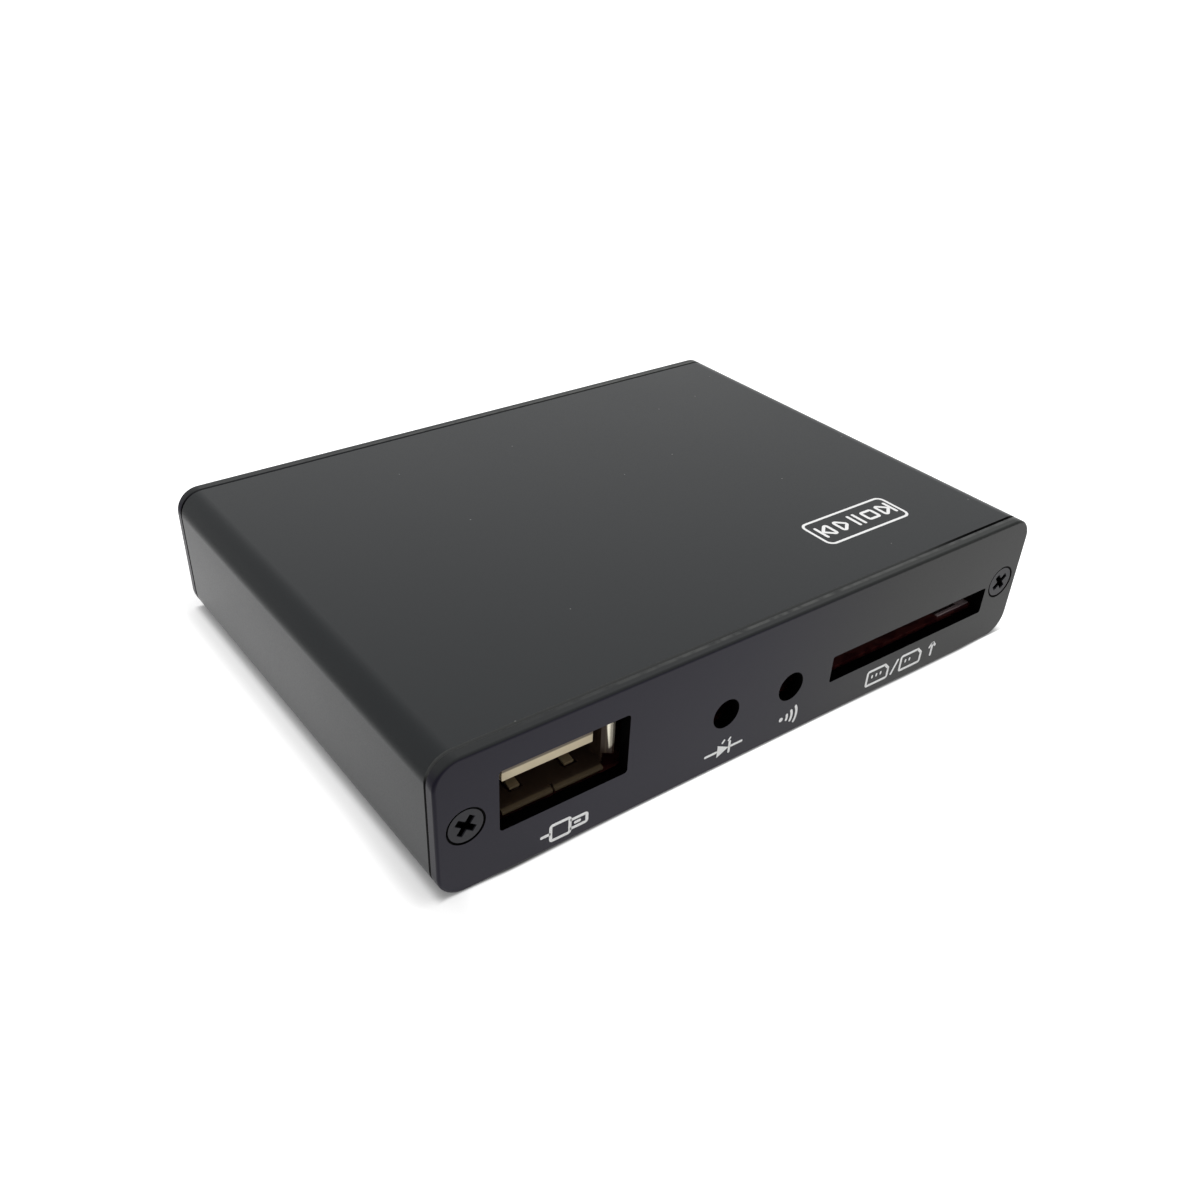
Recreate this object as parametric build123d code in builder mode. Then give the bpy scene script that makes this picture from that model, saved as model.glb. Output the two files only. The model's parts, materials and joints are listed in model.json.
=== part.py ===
"""Small signage player: an extruded metal sleeve closed by two screwed panels.

A circuit board inside carries its ports, its status light, its remote receiver and a card socket.

Millimetres. +Z up, +X to the right along the front, the front panel faces -Y.
The origin is under the middle of the case, on the surface that it stands on.
"""
import os
from math import sqrt

from build123d import *

# Case
case_width = 86.0
case_depth = 63.0
case_height = 17.0
corner_radius = 3.0
case_wall = 1.3
panel_thickness = 1.5
rim_round = 0.35
seam_chamfer = 0.2
cut_overrun = 1.0

# Panel screws, at half the case's height
screw_inset = 3.3
screw_radius = 1.25
screw_length = 7.0
screw_tip = 0.4
screw_head_radius = 2.0
screw_head_rim = 0.05
screw_head_sink = 0.05
screw_head_clearance = 0.1
screw_hole_clearance = 0.15
thread_clearance = 0.03
boss_wall = 0.75
drive_length = 2.5
drive_width = 0.74
drive_depth = 0.8
drive_taper = 6
drive_turns = (38, 52)
countersink_angle = 90

# Board and the rails that hold it in the sleeve
board_thickness = 1.6
board_rise = 2.2
board_corner = 0.8
board_side_clearance = 0.3
board_end_clearance = 0.4
rail_clearance = 0.1
rail_height = 1.0
rail_reach = 1.8
lead_clearance = 0.1
fit_gap = 0.05

# Data port, behind the left cut-out of the front panel
data_port_inset = 14.7
data_port_standoff = 1.0
data_port_setback = 0.3
data_cutout_width = 15.6
data_cutout_height = 7.6
data_cutout_rise = 0.6
data_cutout_shift = 0.15
data_mouth_width = 12.5
data_mouth_height = 5.12
data_shell_length = 13.5
data_block_depth = 3.5
data_lip_reach = 0.7
data_lip_flare = 0.4
data_lip_notch = 0.35
data_lip_seam = 0.25
data_side_lip_flare = 0.95
data_side_lip_notch = 1.3
data_leg_width = 1.6
data_leg_back = 7.0
lead_stub = 1.0
data_tongue_width = 11.1
data_tongue_thickness = 1.84
data_tongue_drop = 0.71
data_tongue_setback = 0.4
data_inner_pitch = 2.0
data_outer_pitch = 7.0
data_contact_width = 1.0
data_contact_thickness = 0.25
data_contact_setback = 0.8
data_spring_spread = 6.7
data_spring_width = 1.2
data_spring_gap = 0.25
data_spring_length = 5.0
data_spring_back = 1.2
data_spring_rise = 0.5
spring_peak_share = 0.3
spring_tip_share = 0.4
port_sheet = 0.3
cutout_corner = 0.4

# Card socket, behind the slot at the right of the front panel
card_socket_side_gap = 5.8
card_socket_setback = 1.8
card_socket_width = 28.0
card_socket_depth_share = 13 / 30
card_socket_height = 2.9
card_slot_lap = 0.35
card_slot_height = 3.6
card_slot_rise = 0.2
card_slot_corner = 0.25
card_lane_width = 2.1
card_floor = 0.5
card_sheet = 0.2
card_left_wall = 0.8
card_right_wall = 0.4
card_back_wall = 0.8
card_lug_width = 6.0
card_lug_depth = 1.2
card_contact_count = 9
card_contact_left_inset = 1.2
card_contact_right_inset = 3.1
card_contact_width = 0.9
card_contact_sheet = 0.15
card_contact_reach = 7.0
card_contact_rise = 0.7
card_contact_foot = 0.8
card_window_width = 7.0
card_window_depth = 4.0
card_window_shares = (-0.27, 0.13)

# Sprung carriage that locks and ejects the card
carriage_travel = 4.8
carriage_gap = 0.12
carriage_post_gap = 2.08
carriage_pocket_share = 0.55
carriage_arm_reach = 2.2
carriage_arm_depth = 2.0
carriage_groove_width = 0.9
carriage_groove_depth = 0.6
carriage_groove_share = 0.41
spring_outer_radius = 0.55
spring_wire = 0.2
latch_post_depth = 3.0
latch_post_inset = 0.7
latch_wire_radius = 0.15
latch_hook_drop = 1.0
latch_tip_drop = 0.3
latch_tip_gap = 0.5

# Status light and remote receiver, behind the two round windows
window_radius = 1.85
light_gap_share = 0.6444
receiver_gap_share = 0.2123
light_rise = 2.4
light_setback = 2.4
light_radius = 1.5
light_length = 4.2
light_flange_radius = 1.9
light_flange_length = 1.0
light_lead_pitch = 2.0
light_lead_size = 0.5
light_lead_run = 2.0
light_holder_width = 4.4
light_holder_depth = 2.6
receiver_rise = 2.0
receiver_setback = 1.8
receiver_width = 6.8
receiver_depth = 2.6
receiver_height = 4.0
receiver_edge = 0.3
receiver_lens_radius = 1.6
receiver_lens_neck = 0.3
receiver_lead_pitch = 2.0
receiver_lead_count = 3
receiver_lead_width = 0.5
receiver_lead_sheet = 0.2
receiver_lead_height = 1.0
receiver_lead_foot = 0.9

# Video port at the rear
video_port_inset = 24.0
video_port_sink = 1.0
video_mouth_width = 14.0
video_mouth_height = 4.55
video_corner_cut = 1.4
video_shell_length = 11.6
video_block_depth = 3.0
video_tongue_width = 10.8
video_tongue_thickness = 1.05
video_tongue_rise = 0.45
video_tongue_setback = 1.2
video_contact_counts = (9, 10)
video_contact_pitch = 1.0
video_contact_width = 0.35
video_contact_thickness = 0.12
video_tail_length = 1.2
cutout_clearance = 0.3

# Audio jack at the rear
audio_span_share = 0.5
audio_body_width = 6.4
audio_body_height = 5.2
audio_body_length = 12.0
audio_bore_radius = 1.8
audio_bore_depth = 10.5
audio_bush_radius = 2.5
audio_bush_sink = 0.1
audio_contact_length = 2.4
audio_contact_gap = 1.6
audio_contact_thickness = 0.25
audio_contact_foot = 0.9

# Power jack at the rear
power_jack_inset = 14.0
power_body_width = 6.6
power_body_height = 6.4
power_body_length = 11.5
power_bore_radius = 1.85
power_bore_depth = 9.0
power_nose_radius = 2.7
power_nose_sink = 0.1
power_pin_radius = 0.65
power_pin_sink = 1.5
power_tab_width = 1.6
power_tab_sheet = 0.3
power_tab_gap = 3.2
power_body_gap = 0.2

# Chips and other parts on the board, placed by shares of the board's size from its middle
processor_place_shares = (-0.145, 0.0)
processor_size = 15.0
processor_substrate = 0.5
processor_cap_inset = 1.0
processor_cap_height = 0.7
pad_inset = 1.5
pad_thickness = 0.4
heat_sink_size = 16.0
heat_sink_base = 1.5
heat_sink_height = 6.0
heat_sink_fins = 6
heat_sink_fin_thickness = 1.0
memory_width_share = 0.072
memory_width = 9.0
memory_length = 13.0
memory_height = 1.1
memory_dot_radius = 0.5
memory_dot_inset = 1.2
memory_dot_depth = 0.1
flash_place_shares = (-0.36, 0.068)
flash_width = 5.2
flash_length = 5.2
flash_height = 1.7
flash_lift = 0.1
flash_lead_rows = 4
flash_lead_pitch = 1.27
flash_lead_width = 0.4
flash_lead_sheet = 0.2
flash_lead_reach = 1.3
flash_lead_height = 0.8
crystal_place_shares = (-0.36, -0.1)
crystal_width = 11.0
crystal_depth = 4.7
crystal_height = 3.4
crystal_flange = 0.5
crystal_flange_height = 0.5
crystal_round = 0.5
inductor_width_share = 0.3
inductor_size = 6.0
inductor_height = 3.0
inductor_corner = 0.9
inductor_core_radius = 2.2
inductor_core_depth = 0.3
regulator_width_shares = (0.19, 0.4)
regulator_width = 5.0
regulator_depth = 4.0
regulator_height = 1.5
regulator_bevel = 0.3
capacitor_width_shares = (0.19, 0.4)
capacitor_radius = 3.0
capacitor_height = 5.0
capacitor_base_size = 6.4
capacitor_base_height = 0.9
capacitor_base_cut = 1.3
capacitor_round = 0.4
chip_width = 1.6
chip_depth = 0.8
resistor_height = 0.45
chip_capacitor_height = 0.8
chip_row_count = 8
chip_row_pitch = 2.6
resistor_row_shares = (-0.22, 0.24)
chip_capacitor_row_shares = (-0.145, -0.19)

# Places worked out from the sizes above
front_y = -case_depth / 2
rear_y = case_depth / 2
front_inner_y = front_y + panel_thickness
rear_inner_y = rear_y - panel_thickness
sleeve_length = case_depth - 2 * panel_thickness
inner_half_width = case_width / 2 - case_wall
wall_root = case_wall / 2
screw_x = case_width / 2 - screw_inset
screw_z = case_height / 2
screw_bore_radius = screw_radius + thread_clearance
boss_radius = screw_bore_radius + boss_wall

board_bottom = case_wall + board_rise
board_top = board_bottom + board_thickness
board_width = 2 * (inner_half_width - board_side_clearance)
board_length = sleeve_length - 2 * board_end_clearance

data_port_x = -case_width / 2 + data_port_inset
data_floor_z = board_top + data_port_standoff + port_sheet
data_roof_z = data_floor_z + data_mouth_height
data_mid_z = data_floor_z + data_mouth_height / 2
data_shell_width = data_mouth_width + 2 * port_sheet
data_shell_height = data_mouth_height + 2 * port_sheet
data_lip_y = front_inner_y + data_port_setback
data_mouth_y = data_lip_y + data_lip_reach
data_rear_y = data_mouth_y + data_shell_length
data_block_y = data_rear_y - data_block_depth
data_leg_y = data_mouth_y + data_leg_back
data_tongue_z = data_roof_z - data_tongue_drop - data_tongue_thickness
data_contact_xs = [
    data_port_x + side * pitch / 2 for pitch in (data_inner_pitch, data_outer_pitch) for side in (-1, 1)
]

card_socket_x = case_width / 2 - card_socket_side_gap - card_socket_width / 2
card_socket_depth = card_socket_depth_share * sleeve_length
card_front_y = front_inner_y + card_socket_setback
card_rear_y = card_front_y + card_socket_depth
card_base_width = card_socket_width - 2 * card_sheet
card_base_left = card_socket_x - card_base_width / 2
card_base_right = card_socket_x + card_base_width / 2
card_floor_z = board_top + card_floor
card_roof_z = board_top + card_socket_height - card_sheet
card_lane_right = card_base_right - card_right_wall
card_channel_left = card_base_left + card_left_wall
card_channel_right = card_lane_right - card_lane_width
card_back_y = card_rear_y - card_back_wall
card_slot_width = card_socket_width - 2 * card_slot_lap
card_slot_z = board_top + card_socket_height / 2 + card_slot_rise
card_contact_start = card_channel_left + card_contact_left_inset
card_contact_span = card_channel_right - card_contact_right_inset - card_contact_start
card_contact_xs = [
    card_contact_start + index * card_contact_span / (card_contact_count - 1)
    for index in range(card_contact_count)
]

carriage_left = card_channel_right + carriage_gap
carriage_right = card_lane_right - carriage_gap
carriage_x = (carriage_left + carriage_right) / 2
carriage_bottom = card_floor_z + carriage_gap
carriage_top = card_roof_z - carriage_gap
carriage_mid_z = (carriage_bottom + carriage_top) / 2
latch_post_front_y = card_front_y + latch_post_inset
latch_post_rear_y = latch_post_front_y + latch_post_depth
carriage_front_y = latch_post_rear_y + carriage_post_gap
carriage_rear_y = card_back_y - carriage_gap - carriage_travel
carriage_length = carriage_rear_y - carriage_front_y
carriage_pocket_length = carriage_pocket_share * carriage_length
carriage_pocket_y = carriage_rear_y - carriage_pocket_length
carriage_pocket_radius = spring_outer_radius + carriage_gap
carriage_groove_y = carriage_front_y + carriage_groove_share * carriage_length
latch_wire_z = carriage_top - latch_wire_radius
latch_post_y = (latch_post_front_y + latch_post_rear_y) / 2
latch_tip_y = carriage_groove_y - latch_tip_gap

front_span_start = data_port_x + data_shell_width / 2
front_span = card_socket_x - card_socket_width / 2 - front_span_start
front_free = front_span - light_holder_width - receiver_width
light_x = front_span_start + light_gap_share * front_free + light_holder_width / 2
light_z = board_top + light_rise
light_tip_y = front_inner_y + light_setback
light_back_y = light_tip_y + light_length + light_flange_length
light_lead_y = light_back_y + light_lead_run
light_receiver_gap = receiver_gap_share * front_free
receiver_x = light_x + light_holder_width / 2 + light_receiver_gap + receiver_width / 2
receiver_z = board_top + receiver_rise
receiver_face_y = front_inner_y + receiver_setback + receiver_lens_neck + receiver_lens_radius
receiver_back_y = receiver_face_y + receiver_depth

video_port_x = -case_width / 2 + video_port_inset
video_mouth_y = rear_y - video_port_sink
video_front_y = video_mouth_y - video_shell_length
video_mid_z = board_top + port_sheet + video_mouth_height / 2
video_tongue_z = video_mid_z + video_tongue_rise - video_tongue_thickness / 2

power_jack_x = case_width / 2 - power_jack_inset
power_back_y = rear_inner_y - power_body_gap
power_front_y = power_back_y - power_body_length
power_mid_z = board_top + power_body_height / 2
power_bore_end_y = power_back_y - power_bore_depth
power_nose_y = rear_y - power_nose_sink
power_tab_y = power_front_y + power_tab_gap / 2

rear_span_start = video_port_x + video_mouth_width / 2
rear_span = power_jack_x - power_body_width / 2 - rear_span_start
audio_jack_x = rear_span_start + audio_span_share * rear_span
audio_back_y = rear_inner_y - power_body_gap
audio_front_y = audio_back_y - audio_body_length
audio_mid_z = board_top + audio_body_height / 2
audio_bush_y = rear_y - audio_bush_sink

power_rows_front_y = card_rear_y + card_contact_foot
power_rows_rear_y = power_front_y - power_tab_width
power_rows_gap = (power_rows_rear_y - power_rows_front_y - capacitor_base_size - regulator_depth) / 3
capacitor_row_y = power_rows_front_y + power_rows_gap + capacitor_base_size / 2
regulator_row_y = power_rows_rear_y - power_rows_gap - regulator_depth / 2


# A sketch plane at depth y, drawn in X and Z as seen from the front, that extrudes towards the front
def facing_front(y):
    return Plane.XZ.offset(-y)


# A box between two opposite corners, in the sub-part that is being built
def box_between(low, high, mode=Mode.ADD):
    size = [top - bottom for bottom, top in zip(low, high)]
    with Locations(tuple((bottom + top) / 2 for bottom, top in zip(low, high))):
        Box(*size, mode=mode)


# A box that stands on the board, with its middle at a share of the board's width and length
def board_place(shares):
    return shares[0] * board_width, shares[1] * board_length


def standing_box(place, width, depth, bottom, height, mode=Mode.ADD):
    box_between(
        (place[0] - width / 2, place[1] - depth / 2, bottom),
        (place[0] + width / 2, place[1] + depth / 2, bottom + height),
        mode,
    )


# Labels a finished sub-part and writes it
def keep(builder, label):
    builder.part.label = label
    export_step(builder.part, f"parts/{label}.step")


os.makedirs("parts", exist_ok=True)


# Case sleeve: one extrusion with board rails and screw channels along both sides
with BuildPart() as case_sleeve:
    with BuildSketch(facing_front(rear_inner_y)):
        with Locations((0, case_height / 2)):
            RectangleRounded(case_width, case_height, corner_radius)
            RectangleRounded(
                case_width - 2 * case_wall,
                case_height - 2 * case_wall,
                corner_radius - case_wall,
                mode=Mode.SUBTRACT,
            )
        for side in (-1, 1):
            rail_x = side * (inner_half_width + (wall_root - rail_reach) / 2)
            lower_rail_z = board_bottom - rail_clearance - rail_height / 2
            upper_rail_z = board_top + rail_clearance + rail_height / 2
            with Locations((rail_x, lower_rail_z), (rail_x, upper_rail_z)):
                Rectangle(rail_reach + wall_root, rail_height)
            boss_web = inner_half_width + wall_root - screw_x
            with Locations((side * (screw_x + boss_web / 2), screw_z)):
                Rectangle(boss_web, 2 * boss_radius)
            with Locations((side * screw_x, screw_z)):
                Circle(boss_radius)
                Circle(screw_bore_radius, mode=Mode.SUBTRACT)
    extrude(amount=sleeve_length)
    sleeve_ends = case_sleeve.faces().filter_by(Axis.Y).sort_by(Axis.Y)
    chamfer([edge for end in sleeve_ends for edge in end.outer_wire().edges()], seam_chamfer)
keep(case_sleeve, "case_sleeve")


# Front panel: port cut-out, two round windows, card slot and two countersunk holes
screw_sink_radius = screw_head_radius + screw_head_rim + screw_head_sink + screw_head_clearance
screw_hole_radius = screw_radius + screw_hole_clearance
with BuildPart() as front_panel:
    with BuildSketch(facing_front(front_inner_y)):
        with Locations((0, case_height / 2)):
            RectangleRounded(case_width, case_height, corner_radius)
        with Locations((data_port_x + data_cutout_shift, data_mid_z + data_cutout_rise)):
            RectangleRounded(data_cutout_width, data_cutout_height, cutout_corner, mode=Mode.SUBTRACT)
        with Locations((card_socket_x, card_slot_z)):
            RectangleRounded(card_slot_width, card_slot_height, card_slot_corner, mode=Mode.SUBTRACT)
        with Locations((light_x, light_z), (receiver_x, receiver_z)):
            Circle(window_radius, mode=Mode.SUBTRACT)
    extrude(amount=panel_thickness)
    fillet(front_panel.faces().sort_by(Axis.Y)[0].outer_wire().edges(), rim_round)
    chamfer(front_panel.faces().sort_by(Axis.Y)[-1].outer_wire().edges(), seam_chamfer)
    with Locations(facing_front(front_y)):
        with Locations((-screw_x, screw_z), (screw_x, screw_z)):
            CounterSinkHole(
                screw_hole_radius,
                screw_sink_radius,
                panel_thickness + cut_overrun,
                counter_sink_angle=countersink_angle,
            )
keep(front_panel, "front_panel")


# Outline of the video port's mouth, grown outwards by a margin, with its two lower corners cut
def video_outline(margin):
    half_width = video_mouth_width / 2 + margin
    half_height = video_mouth_height / 2 + margin
    cut = video_corner_cut + margin * (2 - sqrt(2))
    return [
        (-half_width, half_height),
        (half_width, half_height),
        (half_width, cut - half_height),
        (half_width - cut, -half_height),
        (cut - half_width, -half_height),
        (-half_width, cut - half_height),
    ]


# Rear panel: holes for the video port, the audio jack and the power jack
with BuildPart() as rear_panel:
    with BuildSketch(facing_front(rear_y)):
        with Locations((0, case_height / 2)):
            RectangleRounded(case_width, case_height, corner_radius)
        with Locations((video_port_x, video_mid_z)):
            Polygon(*video_outline(port_sheet + cutout_clearance), align=None, mode=Mode.SUBTRACT)
        with Locations((audio_jack_x, audio_mid_z)):
            Circle(audio_bush_radius + cutout_clearance, mode=Mode.SUBTRACT)
        with Locations((power_jack_x, power_mid_z)):
            Circle(power_nose_radius + cutout_clearance, mode=Mode.SUBTRACT)
    extrude(amount=panel_thickness)
    fillet(rear_panel.faces().sort_by(Axis.Y)[-1].outer_wire().edges(), rim_round)
    chamfer(rear_panel.faces().sort_by(Axis.Y)[0].outer_wire().edges(), seam_chamfer)
    with Locations(Plane((0, rear_y, 0), x_dir=(1, 0, 0), z_dir=(0, 1, 0))):
        with Locations((-screw_x, -screw_z), (screw_x, -screw_z)):
            CounterSinkHole(
                screw_hole_radius,
                screw_sink_radius,
                panel_thickness + cut_overrun,
                counter_sink_angle=countersink_angle,
            )
keep(rear_panel, "rear_panel")


# Panel screws: a countersunk head with a tapered cross recess, two for each panel
def panel_screws(face_y, inward):
    cone = screw_head_radius - screw_radius
    profile = [
        (0, screw_head_sink),
        (screw_head_radius, screw_head_sink),
        (screw_head_radius, screw_head_sink + screw_head_rim),
        (screw_radius, screw_head_sink + screw_head_rim + cone),
        (screw_radius, screw_length - screw_tip),
        (screw_radius - screw_tip, screw_length),
        (0, screw_length),
    ]
    with BuildPart() as screws:
        for side, turn in zip((-1, 1), drive_turns):
            middle = (side * screw_x, face_y, screw_z)
            with BuildSketch(Plane(middle, x_dir=(1, 0, 0), z_dir=(0, 0, inward))):
                with BuildLine():
                    Polyline(*profile, close=True)
                make_face()
            revolve(axis=Axis(middle, (0, 1, 0)))
            head_top = (side * screw_x, face_y + inward * screw_head_sink, screw_z)
            with BuildSketch(Plane(head_top, x_dir=(1, 0, 0), z_dir=(0, inward, 0))):
                Rectangle(drive_length, drive_width, rotation=turn)
                Rectangle(drive_width, drive_length, rotation=turn)
            extrude(amount=drive_depth, taper=drive_taper, mode=Mode.SUBTRACT)
    return screws


keep(panel_screws(front_y, 1), "front_panel_screws")
keep(panel_screws(rear_y, -1), "rear_panel_screws")


# Main board, slid into the sleeve's rails, with holes for legs and leads
with BuildPart() as main_board:
    with BuildSketch(Plane.XY.offset(board_bottom)):
        RectangleRounded(board_width, board_length, board_corner)
        for side in (-1, 1):
            with Locations((data_port_x + side * (data_shell_width - port_sheet) / 2, data_leg_y)):
                Rectangle(
                    port_sheet + 2 * lead_clearance, data_leg_width + 2 * lead_clearance, mode=Mode.SUBTRACT
                )
            with Locations((light_x + side * light_lead_pitch / 2, light_lead_y + light_lead_size / 2)):
                Circle(light_lead_size / 2 * sqrt(2) + lead_clearance, mode=Mode.SUBTRACT)
        with Locations(*[(x, data_rear_y + data_contact_thickness / 2) for x in data_contact_xs]):
            Circle(data_contact_width / 2 + lead_clearance, mode=Mode.SUBTRACT)
    extrude(amount=board_thickness)
keep(main_board, "main_board")


# Data port shell: a folded sheet tube with flared lips, sprung fingers and two legs in the board
with BuildPart() as data_port_shell:
    with BuildSketch(facing_front(data_rear_y)):
        with Locations((data_port_x, data_mid_z)):
            Rectangle(data_shell_width, data_shell_height)
            Rectangle(data_mouth_width, data_mouth_height, mode=Mode.SUBTRACT)
    extrude(amount=data_shell_length)
    lip_ends = ((data_mouth_y, 0, 0), (data_lip_y, data_side_lip_flare, data_lip_flare))
    for sheet, mode in ((port_sheet, Mode.ADD), (0, Mode.SUBTRACT)):
        for y, side_flare, level_flare in lip_ends:
            with BuildSketch(facing_front(y)):
                with Locations((data_port_x, data_mid_z)):
                    Rectangle(
                        data_mouth_width + 2 * (sheet + side_flare),
                        data_mouth_height + 2 * (sheet + level_flare),
                    )
        loft(mode=mode)
    corner_width = 2 * (data_side_lip_flare + data_lip_notch)
    for side in (-1, 1):
        for level, notch in ((-1, data_side_lip_notch), (1, data_lip_notch)):
            corner_x = data_port_x + side * (data_shell_width / 2 + data_side_lip_flare)
            corner_z = data_mid_z + level * (data_shell_height / 2 + data_lip_flare)
            with Locations((corner_x, data_lip_y + data_lip_reach / 2, corner_z)):
                Box(corner_width, data_lip_reach, 2 * (data_lip_flare + notch), mode=Mode.SUBTRACT)
    seam_bottom = data_floor_z - port_sheet - data_lip_flare - cut_overrun
    box_between(
        (data_port_x - data_lip_seam / 2, data_lip_y, seam_bottom),
        (data_port_x + data_lip_seam / 2, data_mouth_y, data_floor_z),
        Mode.SUBTRACT,
    )
    finger_front = data_mouth_y + data_spring_back
    finger_rear = finger_front + data_spring_length
    finger_peak = finger_front + spring_peak_share * data_spring_length
    finger_tip = finger_front + data_spring_gap
    for side in (-1, 1):
        finger_x = data_port_x + side * data_spring_spread / 2
        slot_half = data_spring_width / 2 + data_spring_gap
        for inner_z, inward in ((data_floor_z, 1), (data_roof_z, -1)):
            outer_z = inner_z - inward * port_sheet
            box_between(
                (finger_x - slot_half, finger_front, min(inner_z, outer_z)),
                (finger_x + slot_half, finger_rear, max(inner_z, outer_z)),
                Mode.SUBTRACT,
            )
            peak_z = inner_z + inward * data_spring_rise
            tip_z = inner_z + inward * data_spring_rise * spring_tip_share
            with BuildSketch(Plane.YZ.offset(finger_x - data_spring_width / 2)):
                with BuildLine():
                    Polyline(
                        (finger_rear, outer_z),
                        (finger_rear, inner_z),
                        (finger_peak, peak_z),
                        (finger_tip, tip_z),
                        (finger_tip, tip_z - inward * port_sheet),
                        (finger_peak, peak_z - inward * port_sheet),
                        close=True,
                    )
                make_face()
            extrude(amount=data_spring_width)
    box_between(
        (data_port_x - data_mouth_width / 2, data_block_y, data_floor_z - port_sheet),
        (data_port_x + data_mouth_width / 2, data_rear_y, data_floor_z),
        Mode.SUBTRACT,
    )
    for side in (-1, 1):
        leg_outer = data_port_x + side * data_shell_width / 2
        leg_inner = leg_outer - side * port_sheet
        box_between(
            (min(leg_outer, leg_inner), data_leg_y - data_leg_width / 2, board_bottom - lead_stub),
            (max(leg_outer, leg_inner), data_leg_y + data_leg_width / 2, data_mid_z),
        )
keep(data_port_shell, "data_port_shell")


# Data port insulator: a block that stands on the board and carries the tongue
data_strip_top = data_tongue_z
data_strip_bottom = data_tongue_z - data_contact_thickness
with BuildPart() as data_port_insulator:
    box_between(
        (data_port_x - data_mouth_width / 2 + fit_gap, data_block_y + fit_gap, board_top),
        (data_port_x + data_mouth_width / 2 - fit_gap, data_rear_y, data_roof_z - fit_gap),
    )
    box_between(
        (data_port_x - data_tongue_width / 2, data_mouth_y + data_tongue_setback, data_tongue_z),
        (data_port_x + data_tongue_width / 2, data_rear_y, data_tongue_z + data_tongue_thickness),
    )
    for contact_x in data_contact_xs:
        box_between(
            (contact_x - data_contact_width / 2 - fit_gap, data_block_y, data_strip_bottom - fit_gap),
            (contact_x + data_contact_width / 2 + fit_gap, data_rear_y, data_strip_top),
            Mode.SUBTRACT,
        )
keep(data_port_insulator, "data_port_insulator")


# Data port contacts: strips under the tongue that turn down behind the block into the board
with BuildPart() as data_port_contacts:
    for contact_x in data_contact_xs:
        left = contact_x - data_contact_width / 2
        right = contact_x + data_contact_width / 2
        strip_front = data_mouth_y + data_tongue_setback + data_contact_setback
        pin_rear = data_rear_y + data_contact_thickness
        box_between((left, strip_front, data_strip_bottom), (right, pin_rear, data_strip_top))
        box_between((left, data_rear_y, board_bottom - lead_stub), (right, pin_rear, data_strip_top))
keep(data_port_contacts, "data_port_contacts")


# Card socket base: floor, three walls and the post that holds the latch wire
with BuildPart() as card_socket_base:
    box_between(
        (card_base_left, card_front_y, board_top), (card_base_right, card_rear_y, card_floor_z)
    )
    box_between(
        (card_base_left, card_front_y, board_top), (card_channel_left, card_rear_y, card_roof_z)
    )
    box_between((card_lane_right, card_front_y, board_top), (card_base_right, card_rear_y, card_roof_z))
    box_between((card_base_left, card_back_y, board_top), (card_base_right, card_rear_y, card_roof_z))
    box_between(
        (card_channel_right, latch_post_front_y, board_top),
        (card_lane_right, latch_post_rear_y, latch_wire_z - latch_wire_radius),
    )
    with Locations((carriage_x, latch_post_y, latch_wire_z - latch_hook_drop / 2)):
        Cylinder(latch_wire_radius + fit_gap, latch_hook_drop + cut_overrun, mode=Mode.SUBTRACT)
    slot_half = card_contact_width / 2 + fit_gap
    slot_front = card_back_y - card_contact_reach - fit_gap
    for contact_x in card_contact_xs:
        box_between(
            (contact_x - slot_half, slot_front, board_top),
            (contact_x + slot_half, card_rear_y, card_floor_z),
            Mode.SUBTRACT,
        )
keep(card_socket_base, "card_socket_base")


# Card socket contacts: sprung strips in the floor's slots, with solder feet behind the socket
with BuildPart() as card_socket_contacts:
    for contact_x in card_contact_xs:
        contact_tip = card_back_y - card_contact_reach
        contact_peak = contact_tip + spring_peak_share * card_contact_reach
        peak_z = card_floor_z + card_contact_rise
        tip_z = card_floor_z + spring_tip_share * card_contact_rise
        with BuildSketch(Plane.YZ.offset(contact_x - card_contact_width / 2)):
            with BuildLine():
                Polyline(
                    (card_rear_y + card_contact_foot, board_top),
                    (card_rear_y + card_contact_foot, board_top + card_contact_sheet),
                    (card_back_y, board_top + card_contact_sheet),
                    (contact_peak, peak_z),
                    (contact_tip, tip_z),
                    (contact_tip, tip_z - card_contact_sheet),
                    (contact_peak, peak_z - card_contact_sheet),
                    (card_back_y, board_top),
                    close=True,
                )
            make_face()
        extrude(amount=card_contact_width)
keep(card_socket_contacts, "card_socket_contacts")


# Card socket cover: a folded sheet with side skirts, two windows and a solder lug at its front right
with BuildPart() as card_socket_cover:
    cover_left = card_base_left - card_sheet
    cover_right = card_base_right + card_sheet
    cover_top = card_roof_z + card_sheet
    box_between((cover_left, card_front_y, card_roof_z), (cover_right, card_rear_y, cover_top))
    box_between((cover_left, card_front_y, board_top), (card_base_left, card_rear_y, cover_top))
    box_between((card_base_right, card_front_y, board_top), (cover_right, card_rear_y, cover_top))
    lug_front_y = card_front_y - card_lug_depth
    box_between(
        (cover_right - card_lug_width, lug_front_y, board_top),
        (cover_right, card_front_y, board_top + card_sheet),
    )
    for share in card_window_shares:
        window_x = card_socket_x + share * card_socket_width
        window_y = card_front_y + card_socket_depth / 2
        standing_box(
            (window_x, window_y), card_window_width, card_window_depth, card_roof_z, card_sheet, Mode.SUBTRACT
        )
keep(card_socket_cover, "card_socket_cover")


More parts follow.
